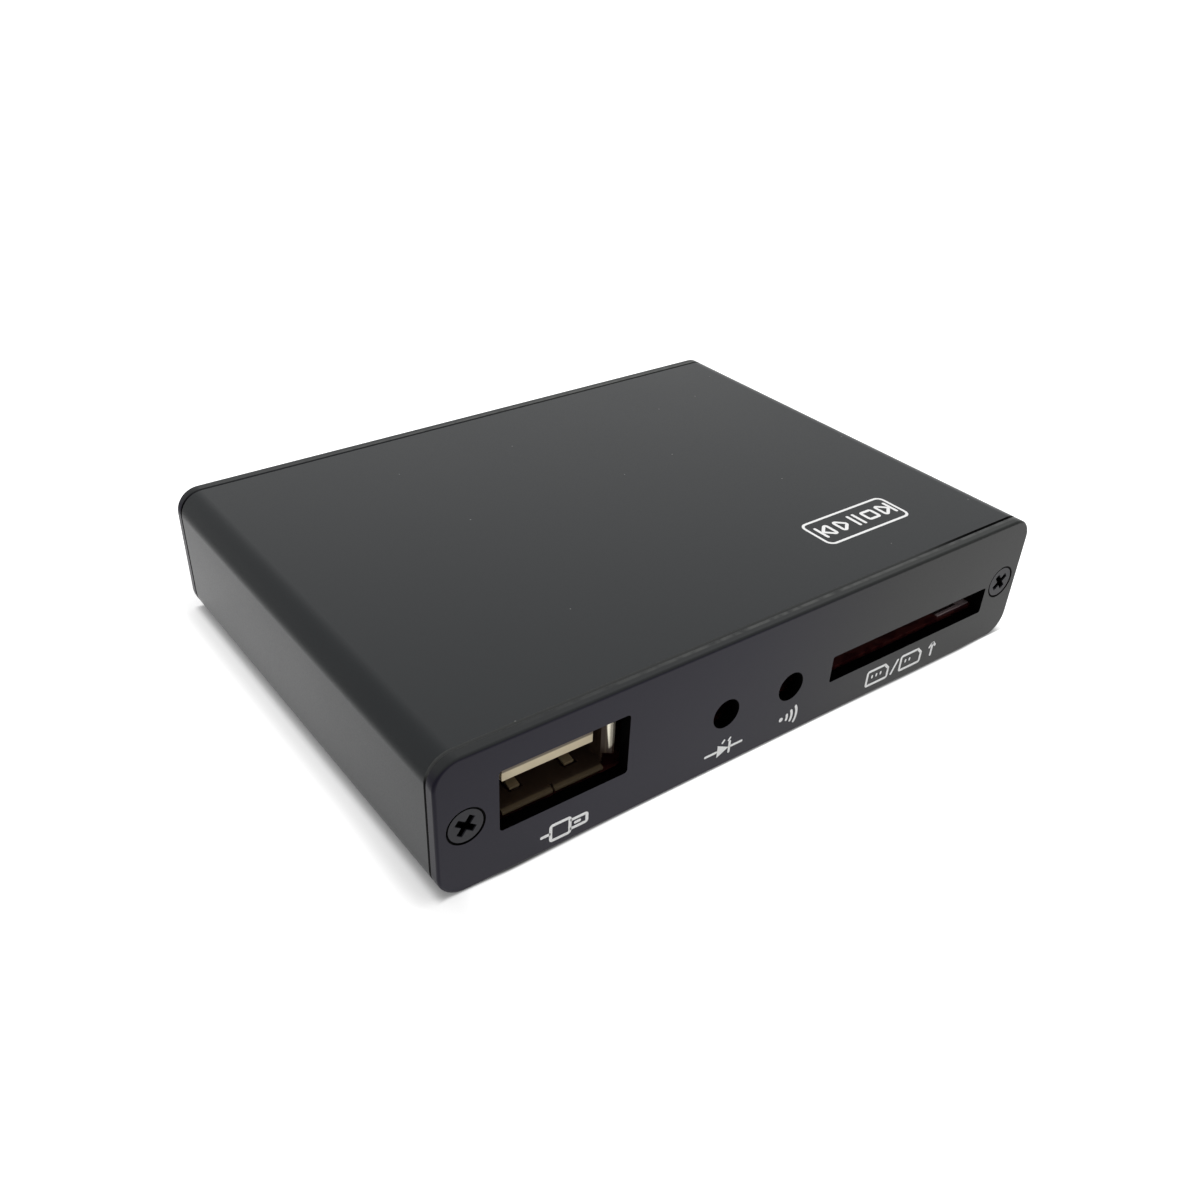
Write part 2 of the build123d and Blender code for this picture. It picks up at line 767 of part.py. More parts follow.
# Card carriage: a bar in the socket's lane with an arm behind the card and a pocket for its spring
with BuildPart() as card_carriage:
    box_between(
        (carriage_left, carriage_front_y, carriage_bottom), (carriage_right, carriage_rear_y, carriage_top)
    )
    arm_rear_y = carriage_rear_y - carriage_gap
    box_between(
        (carriage_left - carriage_arm_reach, arm_rear_y - carriage_arm_depth, carriage_bottom),
        (carriage_left, arm_rear_y, carriage_top),
    )
    with BuildSketch(facing_front(carriage_rear_y)):
        with Locations((carriage_x, carriage_mid_z)):
            Circle(carriage_pocket_radius)
    extrude(amount=carriage_pocket_length, mode=Mode.SUBTRACT)
    box_between(
        (carriage_x - carriage_groove_width / 2, carriage_front_y, carriage_top - carriage_groove_depth),
        (carriage_x + carriage_groove_width / 2, carriage_groove_y, carriage_top),
        Mode.SUBTRACT,
    )
keep(card_carriage, "card_carriage")


# Carriage spring, as its outer sleeve, from the pocket's end to the socket's back wall
with BuildPart() as carriage_spring:
    with BuildSketch(facing_front(card_back_y - fit_gap)):
        with Locations((carriage_x, carriage_mid_z)):
            Circle(spring_outer_radius)
            Circle(spring_outer_radius - spring_wire, mode=Mode.SUBTRACT)
    extrude(amount=card_back_y - carriage_pocket_y - 2 * fit_gap)
keep(carriage_spring, "carriage_spring")


# Latch wire: hooked into the post, with its free tip in the carriage's groove
with BuildPart() as carriage_latch_pin:
    with BuildSketch(facing_front(latch_tip_y)):
        with Locations((carriage_x, latch_wire_z)):
            Circle(latch_wire_radius)
    extrude(amount=latch_tip_y - latch_post_y)
    for end_y, drop in ((latch_post_y, latch_hook_drop), (latch_tip_y, latch_tip_drop)):
        with BuildSketch(Plane.XY.offset(latch_wire_z)):
            with Locations((carriage_x, end_y)):
                Circle(latch_wire_radius)
        extrude(amount=-drop)
        with Locations((carriage_x, end_y, latch_wire_z)):
            Sphere(latch_wire_radius)
keep(carriage_latch_pin, "carriage_latch_pin")


# Status light: a flanged lens with a round nose, lying along the board
with BuildPart() as status_light_lens:
    with BuildSketch(Plane.XY.offset(light_z)):
        with BuildLine():
            nose_end = light_tip_y + light_radius
            flange_y = light_tip_y + light_length
            CenterArc((light_x, nose_end), light_radius, -90, 90)
            Polyline(
                (light_x + light_radius, nose_end),
                (light_x + light_radius, flange_y),
                (light_x + light_flange_radius, flange_y),
                (light_x + light_flange_radius, light_back_y),
                (light_x, light_back_y),
                (light_x, light_tip_y),
            )
        make_face()
    revolve(axis=Axis((light_x, 0, light_z), (0, 1, 0)))
keep(status_light_lens, "status_light_lens")


# Status light leads: out of the lens's back, then down through the board
with BuildPart() as status_light_leads:
    for side in (-1, 1):
        lead_x = light_x + side * light_lead_pitch / 2
        left = lead_x - light_lead_size / 2
        right = lead_x + light_lead_size / 2
        lead_rear = light_lead_y + light_lead_size
        lead_low = light_z - light_lead_size / 2
        lead_high = light_z + light_lead_size / 2
        box_between((left, light_back_y, lead_low), (right, lead_rear, lead_high))
        box_between((left, light_lead_y, board_bottom - lead_stub), (right, lead_rear, lead_high))
keep(status_light_leads, "status_light_leads")


# Status light holder: a cradle that stands on the board under the lens
with BuildPart() as status_light_holder:
    holder_front = light_tip_y + light_length - light_holder_depth - fit_gap
    standing_box(
        (light_x, holder_front + light_holder_depth / 2),
        light_holder_width,
        light_holder_depth,
        board_top,
        light_rise,
    )
    with BuildSketch(facing_front(holder_front + light_holder_depth)):
        with Locations((light_x, light_z)):
            Circle(light_radius + fit_gap)
    extrude(amount=light_holder_depth, mode=Mode.SUBTRACT)
keep(status_light_holder, "status_light_holder")


# Remote receiver: a moulded block with a domed lens that looks out of the second window
with BuildPart() as remote_receiver_body:
    standing_box(
        (receiver_x, (receiver_face_y + receiver_back_y) / 2),
        receiver_width,
        receiver_depth,
        board_top,
        receiver_height,
    )
    chamfer(remote_receiver_body.edges().filter_by(Axis.Y).group_by(Axis.Z)[-1], receiver_edge)
    with BuildSketch(facing_front(receiver_face_y)):
        with Locations((receiver_x, receiver_z)):
            Circle(receiver_lens_radius)
    extrude(amount=receiver_lens_neck)
    with Locations((receiver_x, receiver_face_y - receiver_lens_neck, receiver_z)):
        Sphere(receiver_lens_radius)
keep(remote_receiver_body, "remote_receiver_body")


# Remote receiver leads: flat strips down its back with feet on the board
with BuildPart() as remote_receiver_leads:
    for index in range(receiver_lead_count):
        lead_x = receiver_x + (index - (receiver_lead_count - 1) / 2) * receiver_lead_pitch
        left = lead_x - receiver_lead_width / 2
        right = lead_x + receiver_lead_width / 2
        lead_rear = receiver_back_y + receiver_lead_sheet
        box_between((left, receiver_back_y, board_top), (right, lead_rear, board_top + receiver_lead_height))
        box_between(
            (left, receiver_back_y, board_top),
            (right, lead_rear + receiver_lead_foot, board_top + receiver_lead_sheet),
        )
keep(remote_receiver_leads, "remote_receiver_leads")


# Video port shell: a folded sheet tube with two cut lower corners, open at the rear panel
with BuildPart() as video_port_shell:
    with BuildSketch(facing_front(video_mouth_y)):
        with Locations((video_port_x, video_mid_z)):
            Polygon(*video_outline(port_sheet), align=None)
            Polygon(*video_outline(0), align=None, mode=Mode.SUBTRACT)
    extrude(amount=video_shell_length)
keep(video_port_shell, "video_port_shell")


# Video port insulator: a block in the shell's far end with a thin tongue
video_tongue_mouth = video_mouth_y - video_tongue_setback
with BuildPart() as video_port_insulator:
    with BuildSketch(facing_front(video_front_y + video_block_depth)):
        with Locations((video_port_x, video_mid_z)):
            Polygon(*video_outline(-fit_gap), align=None)
    extrude(amount=video_block_depth)
    box_between(
        (video_port_x - video_tongue_width / 2, video_front_y, video_tongue_z),
        (video_port_x + video_tongue_width / 2, video_tongue_mouth, video_tongue_z + video_tongue_thickness),
    )
keep(video_port_insulator, "video_port_insulator")


# Video port contacts: fine strips on both sides of the tongue, and a row of tails behind the block
with BuildPart() as video_port_contacts:
    strip_front = video_front_y + video_block_depth
    tongue_top = video_tongue_z + video_tongue_thickness
    faces = (
        (video_tongue_z - video_contact_thickness, video_tongue_z),
        (tongue_top, tongue_top + video_contact_thickness),
    )
    for count, (low, high) in zip(video_contact_counts, faces):
        for index in range(count):
            contact_x = video_port_x + (index - (count - 1) / 2) * video_contact_pitch
            left = contact_x - video_contact_width / 2
            right = contact_x + video_contact_width / 2
            box_between((left, strip_front, low), (right, video_tongue_mouth, high))
    for index in range(video_contact_counts[0]):
        contact_x = video_port_x + (index - (video_contact_counts[0] - 1) / 2) * video_contact_pitch
        box_between(
            (contact_x - video_contact_width / 2, video_front_y - video_tail_length, board_top),
            (contact_x + video_contact_width / 2, video_front_y, board_top + port_sheet),
        )
keep(video_port_contacts, "video_port_contacts")


# Audio jack body: a block with a blind round bore from the rear
with BuildPart() as audio_jack_body:
    standing_box(
        (audio_jack_x, (audio_front_y + audio_back_y) / 2),
        audio_body_width,
        audio_body_length,
        board_top,
        audio_body_height,
    )
    with BuildSketch(facing_front(audio_back_y)):
        with Locations((audio_jack_x, audio_mid_z)):
            Circle(audio_bore_radius)
    extrude(amount=audio_bore_depth, mode=Mode.SUBTRACT)
keep(audio_jack_body, "audio_jack_body")


# Audio jack bush: a metal ring that fills the panel's hole
with BuildPart() as audio_jack_bush:
    with BuildSketch(facing_front(audio_bush_y)):
        with Locations((audio_jack_x, audio_mid_z)):
            Circle(audio_bush_radius)
            Circle(audio_bore_radius, mode=Mode.SUBTRACT)
    extrude(amount=audio_bush_y - audio_back_y)
keep(audio_jack_bush, "audio_jack_bush")


# Audio jack contacts: strips on the body's two sides with feet on the board
with BuildPart() as audio_jack_contacts:
    audio_mid_y = (audio_front_y + audio_back_y) / 2
    for side in (-1, 1):
        for end in (-1, 1):
            contact_y = audio_mid_y + end * (audio_contact_length + audio_contact_gap) / 2
            inner = audio_jack_x + side * audio_body_width / 2
            outer = inner + side * audio_contact_thickness
            foot = outer + side * audio_contact_foot
            y_low = contact_y - audio_contact_length / 2
            y_high = contact_y + audio_contact_length / 2
            box_between((min(inner, outer), y_low, board_top), (max(inner, outer), y_high, audio_mid_z))
            box_between(
                (min(inner, foot), y_low, board_top),
                (max(inner, foot), y_high, board_top + audio_contact_thickness),
            )
keep(audio_jack_contacts, "audio_jack_contacts")


# Power jack body: a block with a round nose in the panel's hole and a round bore
with BuildPart() as power_jack_body:
    standing_box(
        (power_jack_x, (power_front_y + power_back_y) / 2),
        power_body_width,
        power_body_length,
        board_top,
        power_body_height,
    )
    with BuildSketch(facing_front(power_nose_y)):
        with Locations((power_jack_x, power_mid_z)):
            Circle(power_nose_radius)
    extrude(amount=power_nose_y - power_back_y)
    with BuildSketch(facing_front(power_nose_y)):
        with Locations((power_jack_x, power_mid_z)):
            Circle(power_bore_radius)
    extrude(amount=power_nose_y - power_bore_end_y, mode=Mode.SUBTRACT)
keep(power_jack_body, "power_jack_body")


# Power jack pin: a round-ended pin in the middle of the bore
with BuildPart() as power_jack_pin:
    pin_tip_y = power_nose_y - power_pin_sink
    with BuildSketch(facing_front(pin_tip_y)):
        with Locations((power_jack_x, power_mid_z)):
            Circle(power_pin_radius)
    extrude(amount=pin_tip_y - power_bore_end_y)
    fillet(power_jack_pin.edges().sort_by(Axis.Y)[-1], power_pin_radius / 2)
keep(power_jack_pin, "power_jack_pin")


# Power jack terminals: tabs on the body's sides and front with feet on the board
with BuildPart() as power_jack_terminals:
    foot_top = board_top + power_tab_sheet
    for side in (-1, 1):
        inner = power_jack_x + side * power_body_width / 2
        outer = inner + side * power_tab_sheet
        foot = outer + side * power_tab_width / 2
        y_low = power_tab_y - power_tab_width / 2
        y_high = power_tab_y + power_tab_width / 2
        box_between((min(inner, outer), y_low, board_top), (max(inner, outer), y_high, power_mid_z))
        box_between((min(inner, foot), y_low, board_top), (max(inner, foot), y_high, foot_top))
    left = power_jack_x - power_tab_width / 2
    right = power_jack_x + power_tab_width / 2
    box_between((left, power_front_y - power_tab_sheet, board_top), (right, power_front_y, power_mid_z))
    box_between((left, power_front_y - power_tab_width, board_top), (right, power_front_y, foot_top))
keep(power_jack_terminals, "power_jack_terminals")


# Media processor with its adhesive pad and finned heat sink
processor_place = board_place(processor_place_shares)
processor_top = board_top + processor_substrate + processor_cap_height
with BuildPart() as media_processor:
    standing_box(processor_place, processor_size, processor_size, board_top, processor_substrate)
    cap_size = processor_size - 2 * processor_cap_inset
    standing_box(processor_place, cap_size, cap_size, board_top + processor_substrate, processor_cap_height)
keep(media_processor, "media_processor")

with BuildPart() as thermal_pad:
    pad_size = processor_size - 2 * pad_inset
    standing_box(processor_place, pad_size, pad_size, processor_top, pad_thickness)
keep(thermal_pad, "thermal_pad")

with BuildPart() as heat_sink:
    sink_bottom = processor_top + pad_thickness
    standing_box(processor_place, heat_sink_size, heat_sink_size, sink_bottom, heat_sink_base)
    fin_step = (heat_sink_size - heat_sink_fin_thickness) / (heat_sink_fins - 1)
    for index in range(heat_sink_fins):
        fin_x = processor_place[0] + (index - (heat_sink_fins - 1) / 2) * fin_step
        fin_place = (fin_x, processor_place[1])
        standing_box(fin_place, heat_sink_fin_thickness, heat_sink_size, sink_bottom, heat_sink_height)
keep(heat_sink, "heat_sink")


# Memory chip with its corner dot
memory_place = (memory_width_share * board_width, (power_rows_front_y + power_rows_rear_y) / 2)
with BuildPart() as memory_chip:
    standing_box(memory_place, memory_width, memory_length, board_top, memory_height)
    dot_x = memory_place[0] - memory_width / 2 + memory_dot_inset
    dot_y = memory_place[1] + memory_length / 2 - memory_dot_inset
    with BuildSketch(Plane.XY.offset(board_top + memory_height)):
        with Locations((dot_x, dot_y)):
            Circle(memory_dot_radius)
    extrude(amount=-memory_dot_depth, mode=Mode.SUBTRACT)
keep(memory_chip, "memory_chip")


# Flash chip body and its two rows of bent leads
flash_place = board_place(flash_place_shares)
with BuildPart() as flash_chip:
    standing_box(flash_place, flash_width, flash_length, board_top + flash_lift, flash_height)
keep(flash_chip, "flash_chip")

with BuildPart() as flash_chip_leads:
    for side in (-1, 1):
        for index in range(flash_lead_rows):
            lead_y = flash_place[1] + (index - (flash_lead_rows - 1) / 2) * flash_lead_pitch
            inner = flash_place[0] + side * flash_width / 2
            knee = inner + side * flash_lead_reach / 2
            outer = inner + side * flash_lead_reach
            y_low = lead_y - flash_lead_width / 2
            y_high = lead_y + flash_lead_width / 2
            shin = knee - side * flash_lead_sheet
            knee_top = board_top + flash_lead_height
            knee_bottom = knee_top - flash_lead_sheet
            foot_top = board_top + flash_lead_sheet
            box_between((min(inner, knee), y_low, knee_bottom), (max(inner, knee), y_high, knee_top))
            box_between((min(shin, knee), y_low, board_top), (max(shin, knee), y_high, knee_top))
            box_between((min(shin, outer), y_low, board_top), (max(shin, outer), y_high, foot_top))
keep(flash_chip_leads, "flash_chip_leads")


# Clock crystal: a flanged oval can
crystal_place = board_place(crystal_place_shares)
with BuildPart() as clock_crystal:
    with BuildSketch(Plane.XY.offset(board_top)):
        with Locations(crystal_place):
            SlotOverall(crystal_width + 2 * crystal_flange, crystal_depth + 2 * crystal_flange)
    extrude(amount=crystal_flange_height)
    with BuildSketch(Plane.XY.offset(board_top)):
        with Locations(crystal_place):
            SlotOverall(crystal_width, crystal_depth)
    extrude(amount=crystal_height)
    fillet(clock_crystal.faces().sort_by(Axis.Z)[-1].edges(), crystal_round)
keep(clock_crystal, "clock_crystal")


# Power inductor: a square ferrite block with a round core face
inductor_place = (inductor_width_share * board_width, capacitor_row_y)
with BuildPart() as power_inductor:
    standing_box(inductor_place, inductor_size, inductor_size, board_top, inductor_height)
    chamfer(power_inductor.edges().filter_by(Axis.Z), inductor_corner)
    with BuildSketch(Plane.XY.offset(board_top + inductor_height)):
        with Locations(inductor_place):
            Circle(inductor_core_radius)
    extrude(amount=-inductor_core_depth, mode=Mode.SUBTRACT)
keep(power_inductor, "power_inductor")


# Regulator chips: two moulded blocks with bevelled tops
with BuildPart() as regulator_chips:
    for share in regulator_width_shares:
        regulator_place = (share * board_width, regulator_row_y)
        standing_box(regulator_place, regulator_width, regulator_depth, board_top, regulator_height)
    chamfer(regulator_chips.faces().group_by(Axis.Z)[-1].edges(), regulator_bevel)
keep(regulator_chips, "regulator_chips")


# Filter capacitors: round cans on square bases with two cut corners
capacitor_places = [(share * board_width, capacitor_row_y) for share in capacitor_width_shares]
with BuildPart() as capacitor_bases:
    for place in capacitor_places:
        standing_box(place, capacitor_base_size, capacitor_base_size, board_top, capacitor_base_height)
    front_corners = [
        edge
        for base in capacitor_bases.solids()
        for edge in base.edges().filter_by(Axis.Z).group_by(Axis.Y)[0]
    ]
    chamfer(front_corners, capacitor_base_cut)
keep(capacitor_bases, "capacitor_bases")

with BuildPart() as capacitor_cans:
    with BuildSketch(Plane.XY.offset(board_top + capacitor_base_height)):
        with Locations(*capacitor_places):
            Circle(capacitor_radius)
    extrude(amount=capacitor_height)
    fillet(capacitor_cans.faces().group_by(Axis.Z)[-1].edges(), capacitor_round)
keep(capacitor_cans, "capacitor_cans")


# Rows of small chip resistors and chip capacitors
def chip_row(shares, height):
    row_x, row_y = board_place(shares)
    with BuildPart() as row:
        for index in range(chip_row_count):
            chip_x = row_x + (index - (chip_row_count - 1) / 2) * chip_row_pitch
            standing_box((chip_x, row_y), chip_width, chip_depth, board_top, height)
    return row


keep(chip_row(resistor_row_shares, resistor_height), "chip_resistors")
keep(chip_row(chip_capacitor_row_shares, chip_capacitor_height), "chip_capacitors")
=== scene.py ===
import json
from math import atan2, cos, degrees, hypot, pi, radians, sin, tan

import bmesh
import bpy
from mathutils import Matrix, Vector

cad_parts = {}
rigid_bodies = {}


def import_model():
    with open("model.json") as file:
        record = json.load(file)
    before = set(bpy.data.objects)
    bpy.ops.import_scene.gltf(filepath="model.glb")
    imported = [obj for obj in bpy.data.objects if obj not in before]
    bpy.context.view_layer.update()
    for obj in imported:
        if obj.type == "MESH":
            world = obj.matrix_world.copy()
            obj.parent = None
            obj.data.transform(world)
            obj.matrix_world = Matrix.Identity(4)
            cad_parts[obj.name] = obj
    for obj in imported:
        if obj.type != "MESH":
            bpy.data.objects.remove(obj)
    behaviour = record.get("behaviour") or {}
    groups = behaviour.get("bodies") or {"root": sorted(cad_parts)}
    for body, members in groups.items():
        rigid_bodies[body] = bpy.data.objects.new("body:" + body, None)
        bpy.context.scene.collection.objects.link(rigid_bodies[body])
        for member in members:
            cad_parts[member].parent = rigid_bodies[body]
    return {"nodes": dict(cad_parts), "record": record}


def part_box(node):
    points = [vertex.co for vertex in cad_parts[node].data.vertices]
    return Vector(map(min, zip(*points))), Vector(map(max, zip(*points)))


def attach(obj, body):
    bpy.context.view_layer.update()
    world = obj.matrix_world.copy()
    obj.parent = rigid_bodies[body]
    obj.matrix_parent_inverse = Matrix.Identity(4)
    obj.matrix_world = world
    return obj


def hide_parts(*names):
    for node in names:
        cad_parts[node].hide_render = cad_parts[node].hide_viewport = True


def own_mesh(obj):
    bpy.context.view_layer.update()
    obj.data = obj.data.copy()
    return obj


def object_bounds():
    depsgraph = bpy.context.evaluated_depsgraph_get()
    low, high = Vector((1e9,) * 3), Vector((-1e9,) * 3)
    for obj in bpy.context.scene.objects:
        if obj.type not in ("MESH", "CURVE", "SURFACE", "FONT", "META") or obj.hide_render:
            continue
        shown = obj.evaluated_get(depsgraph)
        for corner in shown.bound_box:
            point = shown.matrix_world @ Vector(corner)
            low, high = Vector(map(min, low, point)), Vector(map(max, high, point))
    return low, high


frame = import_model()
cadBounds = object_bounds()
nodes = frame["nodes"]
slotOf = {part["node"]: part["material_slot"] for part in frame["record"]["subparts"]}
mm = 0.001


# Shader sums: a socket that is added, multiplied and compared like a number
class Wire:
    def __init__(self, socket):
        self.socket = socket

    def sum(self, operation, first, second):
        step = self.socket.id_data.nodes.new("ShaderNodeMath")
        step.operation = operation
        feed(step.inputs[0], first)
        feed(step.inputs[1], second)
        return Wire(step.outputs[0])

    def __add__(self, other):
        return self.sum("ADD", self, other)

    def __radd__(self, other):
        return self.sum("ADD", other, self)

    def __sub__(self, other):
        return self.sum("SUBTRACT", self, other)

    def __rsub__(self, other):
        return self.sum("SUBTRACT", other, self)

    def __mul__(self, other):
        return self.sum("MULTIPLY", self, other)

    def __rmul__(self, other):
        return self.sum("MULTIPLY", other, self)

    def __lt__(self, other):
        return self.sum("LESS_THAN", self, other)

    def __gt__(self, other):
        return self.sum("GREATER_THAN", self, other)

    def size(self):
        return self.sum("ABSOLUTE", self, 0)

    def larger(self, other):
        return self.sum("MAXIMUM", self, other)

    def smaller(self, other):
        return self.sum("MINIMUM", self, other)


def feed(socket, value):
    if isinstance(value, Wire):
        socket.id_data.links.new(value.socket, socket)
    else:
        socket.default_value = value


# The nodes of one material or world
class Paint:
    def __init__(self, owner):
        owner.use_nodes = True
        self.owner = owner
        self.tree = owner.node_tree

    def node(self, kind, settings=None, inputs=None, output=0):
        made = self.tree.nodes.new("ShaderNode" + kind)
        for name, value in (settings or {}).items():
            setattr(made, name, value)
        for name, value in (inputs or {}).items():
            feed(made.inputs[name], value)
        return Wire(made.outputs[output])

    def place(self, stretch=(1, 1, 1)):
        where = self.node("TexCoord", output="Object")
        return self.node("Mapping", {}, {"Vector": where, "Scale": stretch})

    def noise(self, where, size, detail=2):  # size of a patch in mm
        return self.node("TexNoise", {}, {"Vector": where, "Scale": 1 / (size * mm), "Detail": detail})

    def mix(self, factor, first, second):
        return self.node("Mix", {"data_type": "RGBA"}, {0: factor, 6: first, 7: second}, 2)

    def axis(self, letter):
        return self.node("SeparateXYZ", {}, {"Vector": self.place()}, letter)

    def facing(self, letter):
        return self.node("SeparateXYZ", {}, {"Vector": self.node("NewGeometry", output="Normal")}, letter)

    def ramp(self, value, low, high):  # 0 below low, 1 above high
        ends = {"Value": value, "From Min": low, "From Max": high}
        return self.node("MapRange", {"interpolation_type": "SMOOTHSTEP"}, ends)

    def band(self, value, ends):  # the same between two places in mm
        return self.ramp(value, ends[0] * mm, ends[1] * mm)

    def blend(self, factor, first, second):  # of two shaders
        return self.node("MixShader", {}, {0: factor, 1: first, 2: second})

    def rays(self):  # 1 for rays of that kind and 0 for the others
        kinds = ("Is Camera Ray", "Is Glossy Ray", "Is Transmission Ray")
        return [self.node("LightPath", output=kind) for kind in kinds]

    def bump(self, height, depth):  # depth in mm
        return self.node("Bump", {}, {"Height": height, "Distance": depth * mm})

    def surface(self, sockets):
        shader = self.tree.nodes["Principled BSDF"]
        for name, value in sockets.items():
            feed(shader.inputs[name], value)
        return self.owner


# Finishes: two close colours in soft patches, a fine grain in the gloss and a shallow bump
noiseMiddle = 0.5
patchDetail = 3
plainShine = 0.5


def grainLayers(name, look):
    paint = Paint(bpy.data.materials.new(name))
    where = paint.place(look.get("stretch", (1, 1, 1)))
    patches = paint.noise(where, look["patch"], patchDetail)
    grain = paint.noise(where, look["grain"])
    rough = look["rough"] + (grain - noiseMiddle) * look["grainGloss"]
    rough = rough + (patches - noiseMiddle) * look["patchGloss"]
    layers = {
        "Base Color": paint.mix(patches, look["dark"], look["light"]),
        "Roughness": rough,
        "Normal": paint.bump(grain, look["bump"]),
        "Metallic": look.get("metal", 0),
        "Specular IOR Level": look.get("shine", plainShine),
    }
    return paint, layers


def grainFinish(name, look):
    paint, layers = grainLayers(name, look)
    return paint.surface(layers)


sleeveLook = {
    "dark": (0.0162, 0.0182, 0.0197, 1), "light": (0.0205, 0.0226, 0.0242, 1), "patch": 24, "grain": 0.16,
    "rough": 0.35, "grainGloss": 0.16, "patchGloss": 0.08, "bump": 0.002, "shine": 0.23,
    "dustCell": 8, "dustSize": 0.011, "dustShare": 0.8, "dust": (0.2, 0.2, 0.19, 1), "topFacing": 0.95,
    "seamFrom": 29.79, "seam": (0.006, 0.006, 0.006, 1), "shut": (0.06, 0.062, 0.061, 1),
    "shutFacing": (0.05, 0.35), "shutX": (22, 34),
}


def sleeveBlack():
    paint, layers = grainLayers("sleeveBlack", sleeveLook)
    cells = {"Vector": paint.place(), "Scale": 1 / (sleeveLook["dustCell"] * mm)}
    near = paint.node("TexVoronoi", {"voronoi_dimensions": "2D"}, cells)
    pick = paint.node("TexVoronoi", {"voronoi_dimensions": "2D"}, cells, "Color")
    chance = paint.node("SeparateColor", {}, {"Color": pick})
    specks = (near < sleeveLook["dustSize"] * chance) * (chance > sleeveLook["dustShare"])
    onTop = specks * (paint.facing("Z") > sleeveLook["topFacing"])  # settled dust, only where it can lie
    dusty = paint.mix(onTop, layers["Base Color"], sleeveLook["dust"])
    seam = paint.axis("Y").size() > sleeveLook["seamFrom"] * mm  # the cut ends, beside the panels
    seamLightEnd = paint.band(paint.axis("X"), sleeveLook["shutX"])
    # Painted light: the seam chamfer is painted a lighter tone where it faces up, so it reads like the top,
    # but not at its right end
    shut = paint.ramp(paint.facing("Z"), *sleeveLook["shutFacing"]) * (1 - seamLightEnd)
    layers["Base Color"] = paint.mix(seam, dusty, paint.mix(shut, sleeveLook["seam"], sleeveLook["shut"]))
    layers["Metallic"] = seam * (1 - shut)
    return paint.surface(layers)


panelLook = {
    "dark": (0.0068, 0.0052, 0.0145, 1), "light": (0.0104, 0.0088, 0.0185, 1), "patch": 18, "grain": 0.13,
    "rough": 0.36, "grainGloss": 0.14, "patchGloss": 0.08, "bump": 0.002, "shine": 0.16,
    "seamTo": 30.2, "wallFacing": 0.94, "rimX": 41.9, "rimZ": 6.6, "middleZ": 8.5,
    "raw": (0.003, 0.003, 0.003, 1), "rawRough": 0.8, "upFacing": (0.3, 0.8),
    "upLeft": (0.022, 0.0235, 0.0245, 1), "upRight": (0.028, 0.03, 0.029, 1),
    "right": (0.0162, 0.0165, 0.0158, 1), "fadeX": (-8, 26),
    "burr": (0.066, 0.068, 0.066, 1), "burrFrom": (30.1, 30.32), "burrTo": (30.52, 30.75),
    "burrX": (-42, 2), "burrPatch": 1.4, "burrShare": (0.25, 0.6),
}


def panelBlack():
    paint, layers = grainLayers("panelBlack", panelLook)
    # Painted light: the face is painted lighter and less violet toward the right, and so is the top edge
    paintedLightRightward = paint.band(paint.axis("X"), panelLook["fadeX"])
    paintedTopLight = paint.ramp(paint.facing("Z"), *panelLook["upFacing"])  # painted light: faces turned up get the sleeve's lighter tone, the front face a darker one
    face = paint.mix(paintedLightRightward, layers["Base Color"], panelLook["right"])
    depth = paint.axis("Y").size()
    line = paint.band(depth, panelLook["burrFrom"]) * (1 - paint.band(depth, panelLook["burrTo"]))
    glintPatches = paint.ramp(paint.noise(paint.place(), panelLook["burrPatch"]), *panelLook["burrShare"])
    burr = line * glintPatches * paint.band(paint.axis("X"), panelLook["burrX"])  # a painted highlight line beside the sleeve, broken into patches
    edgeTone = paint.mix(paintedLightRightward, panelLook["upLeft"], panelLook["upRight"])
    layers["Base Color"] = paint.mix(paintedTopLight, face, paint.mix(burr, edgeTone, panelLook["burr"]))
    wall = paint.facing("Y").size() < panelLook["wallFacing"]
    within = (paint.axis("X").size() < panelLook["rimX"] * mm) * (
        (paint.axis("Z") - panelLook["middleZ"] * mm).size() < panelLook["rimZ"] * mm)
    cut = wall * within  # the walls of the openings, painted black as shade
    seam = (depth < panelLook["seamTo"] * mm) * (1 - paintedTopLight)  # black on the sides only
    # Painted shade: the walls of the openings are near-black and dull, and so is the seam joint on the sides
    raw = cut.larger(seam)
    layers["Base Color"] = paint.mix(raw, layers["Base Color"], panelLook["raw"])
    layers["Roughness"] = layers["Roughness"] + (panelLook["rawRough"] - panelLook["rough"]) * raw
    layers["Metallic"] = raw
    return paint.surface(layers)


screwLook = {
    "dark": (0.009, 0.0086, 0.0125, 1), "light": (0.0165, 0.016, 0.0205, 1), "patch": 0.8, "grain": 0.12,
    "rough": 0.42, "grainGloss": 0.2, "patchGloss": 0.1, "bump": 0.004, "shine": 0.22,
    "axisX": 39.7, "axisZ": 8.5, "rim": 1.95, "face": 31.3,
    "raw": (0.003, 0.003, 0.003, 1), "rawRough": 0.4,
}


def screwBlack():
    paint, layers = grainLayers("screwBlack", screwLook)
    fromX = paint.axis("X").size() - screwLook["axisX"] * mm
    fromZ = paint.axis("Z") - screwLook["axisZ"] * mm
    rim = fromX * fromX + fromZ * fromZ > (screwLook["rim"] * mm) ** 2
    deep = paint.axis("Y").size() < screwLook["face"] * mm  # the cross recess, painted black as shade
    # Painted shade: the rim round the head and the cross recess are near-black
    raw = rim.larger(deep)
    layers["Base Color"] = paint.mix(raw, layers["Base Color"], screwLook["raw"])
    layers["Roughness"] = layers["Roughness"] + screwLook["rawRough"] * raw
    layers["Metallic"] = raw
    return paint.surface(layers)


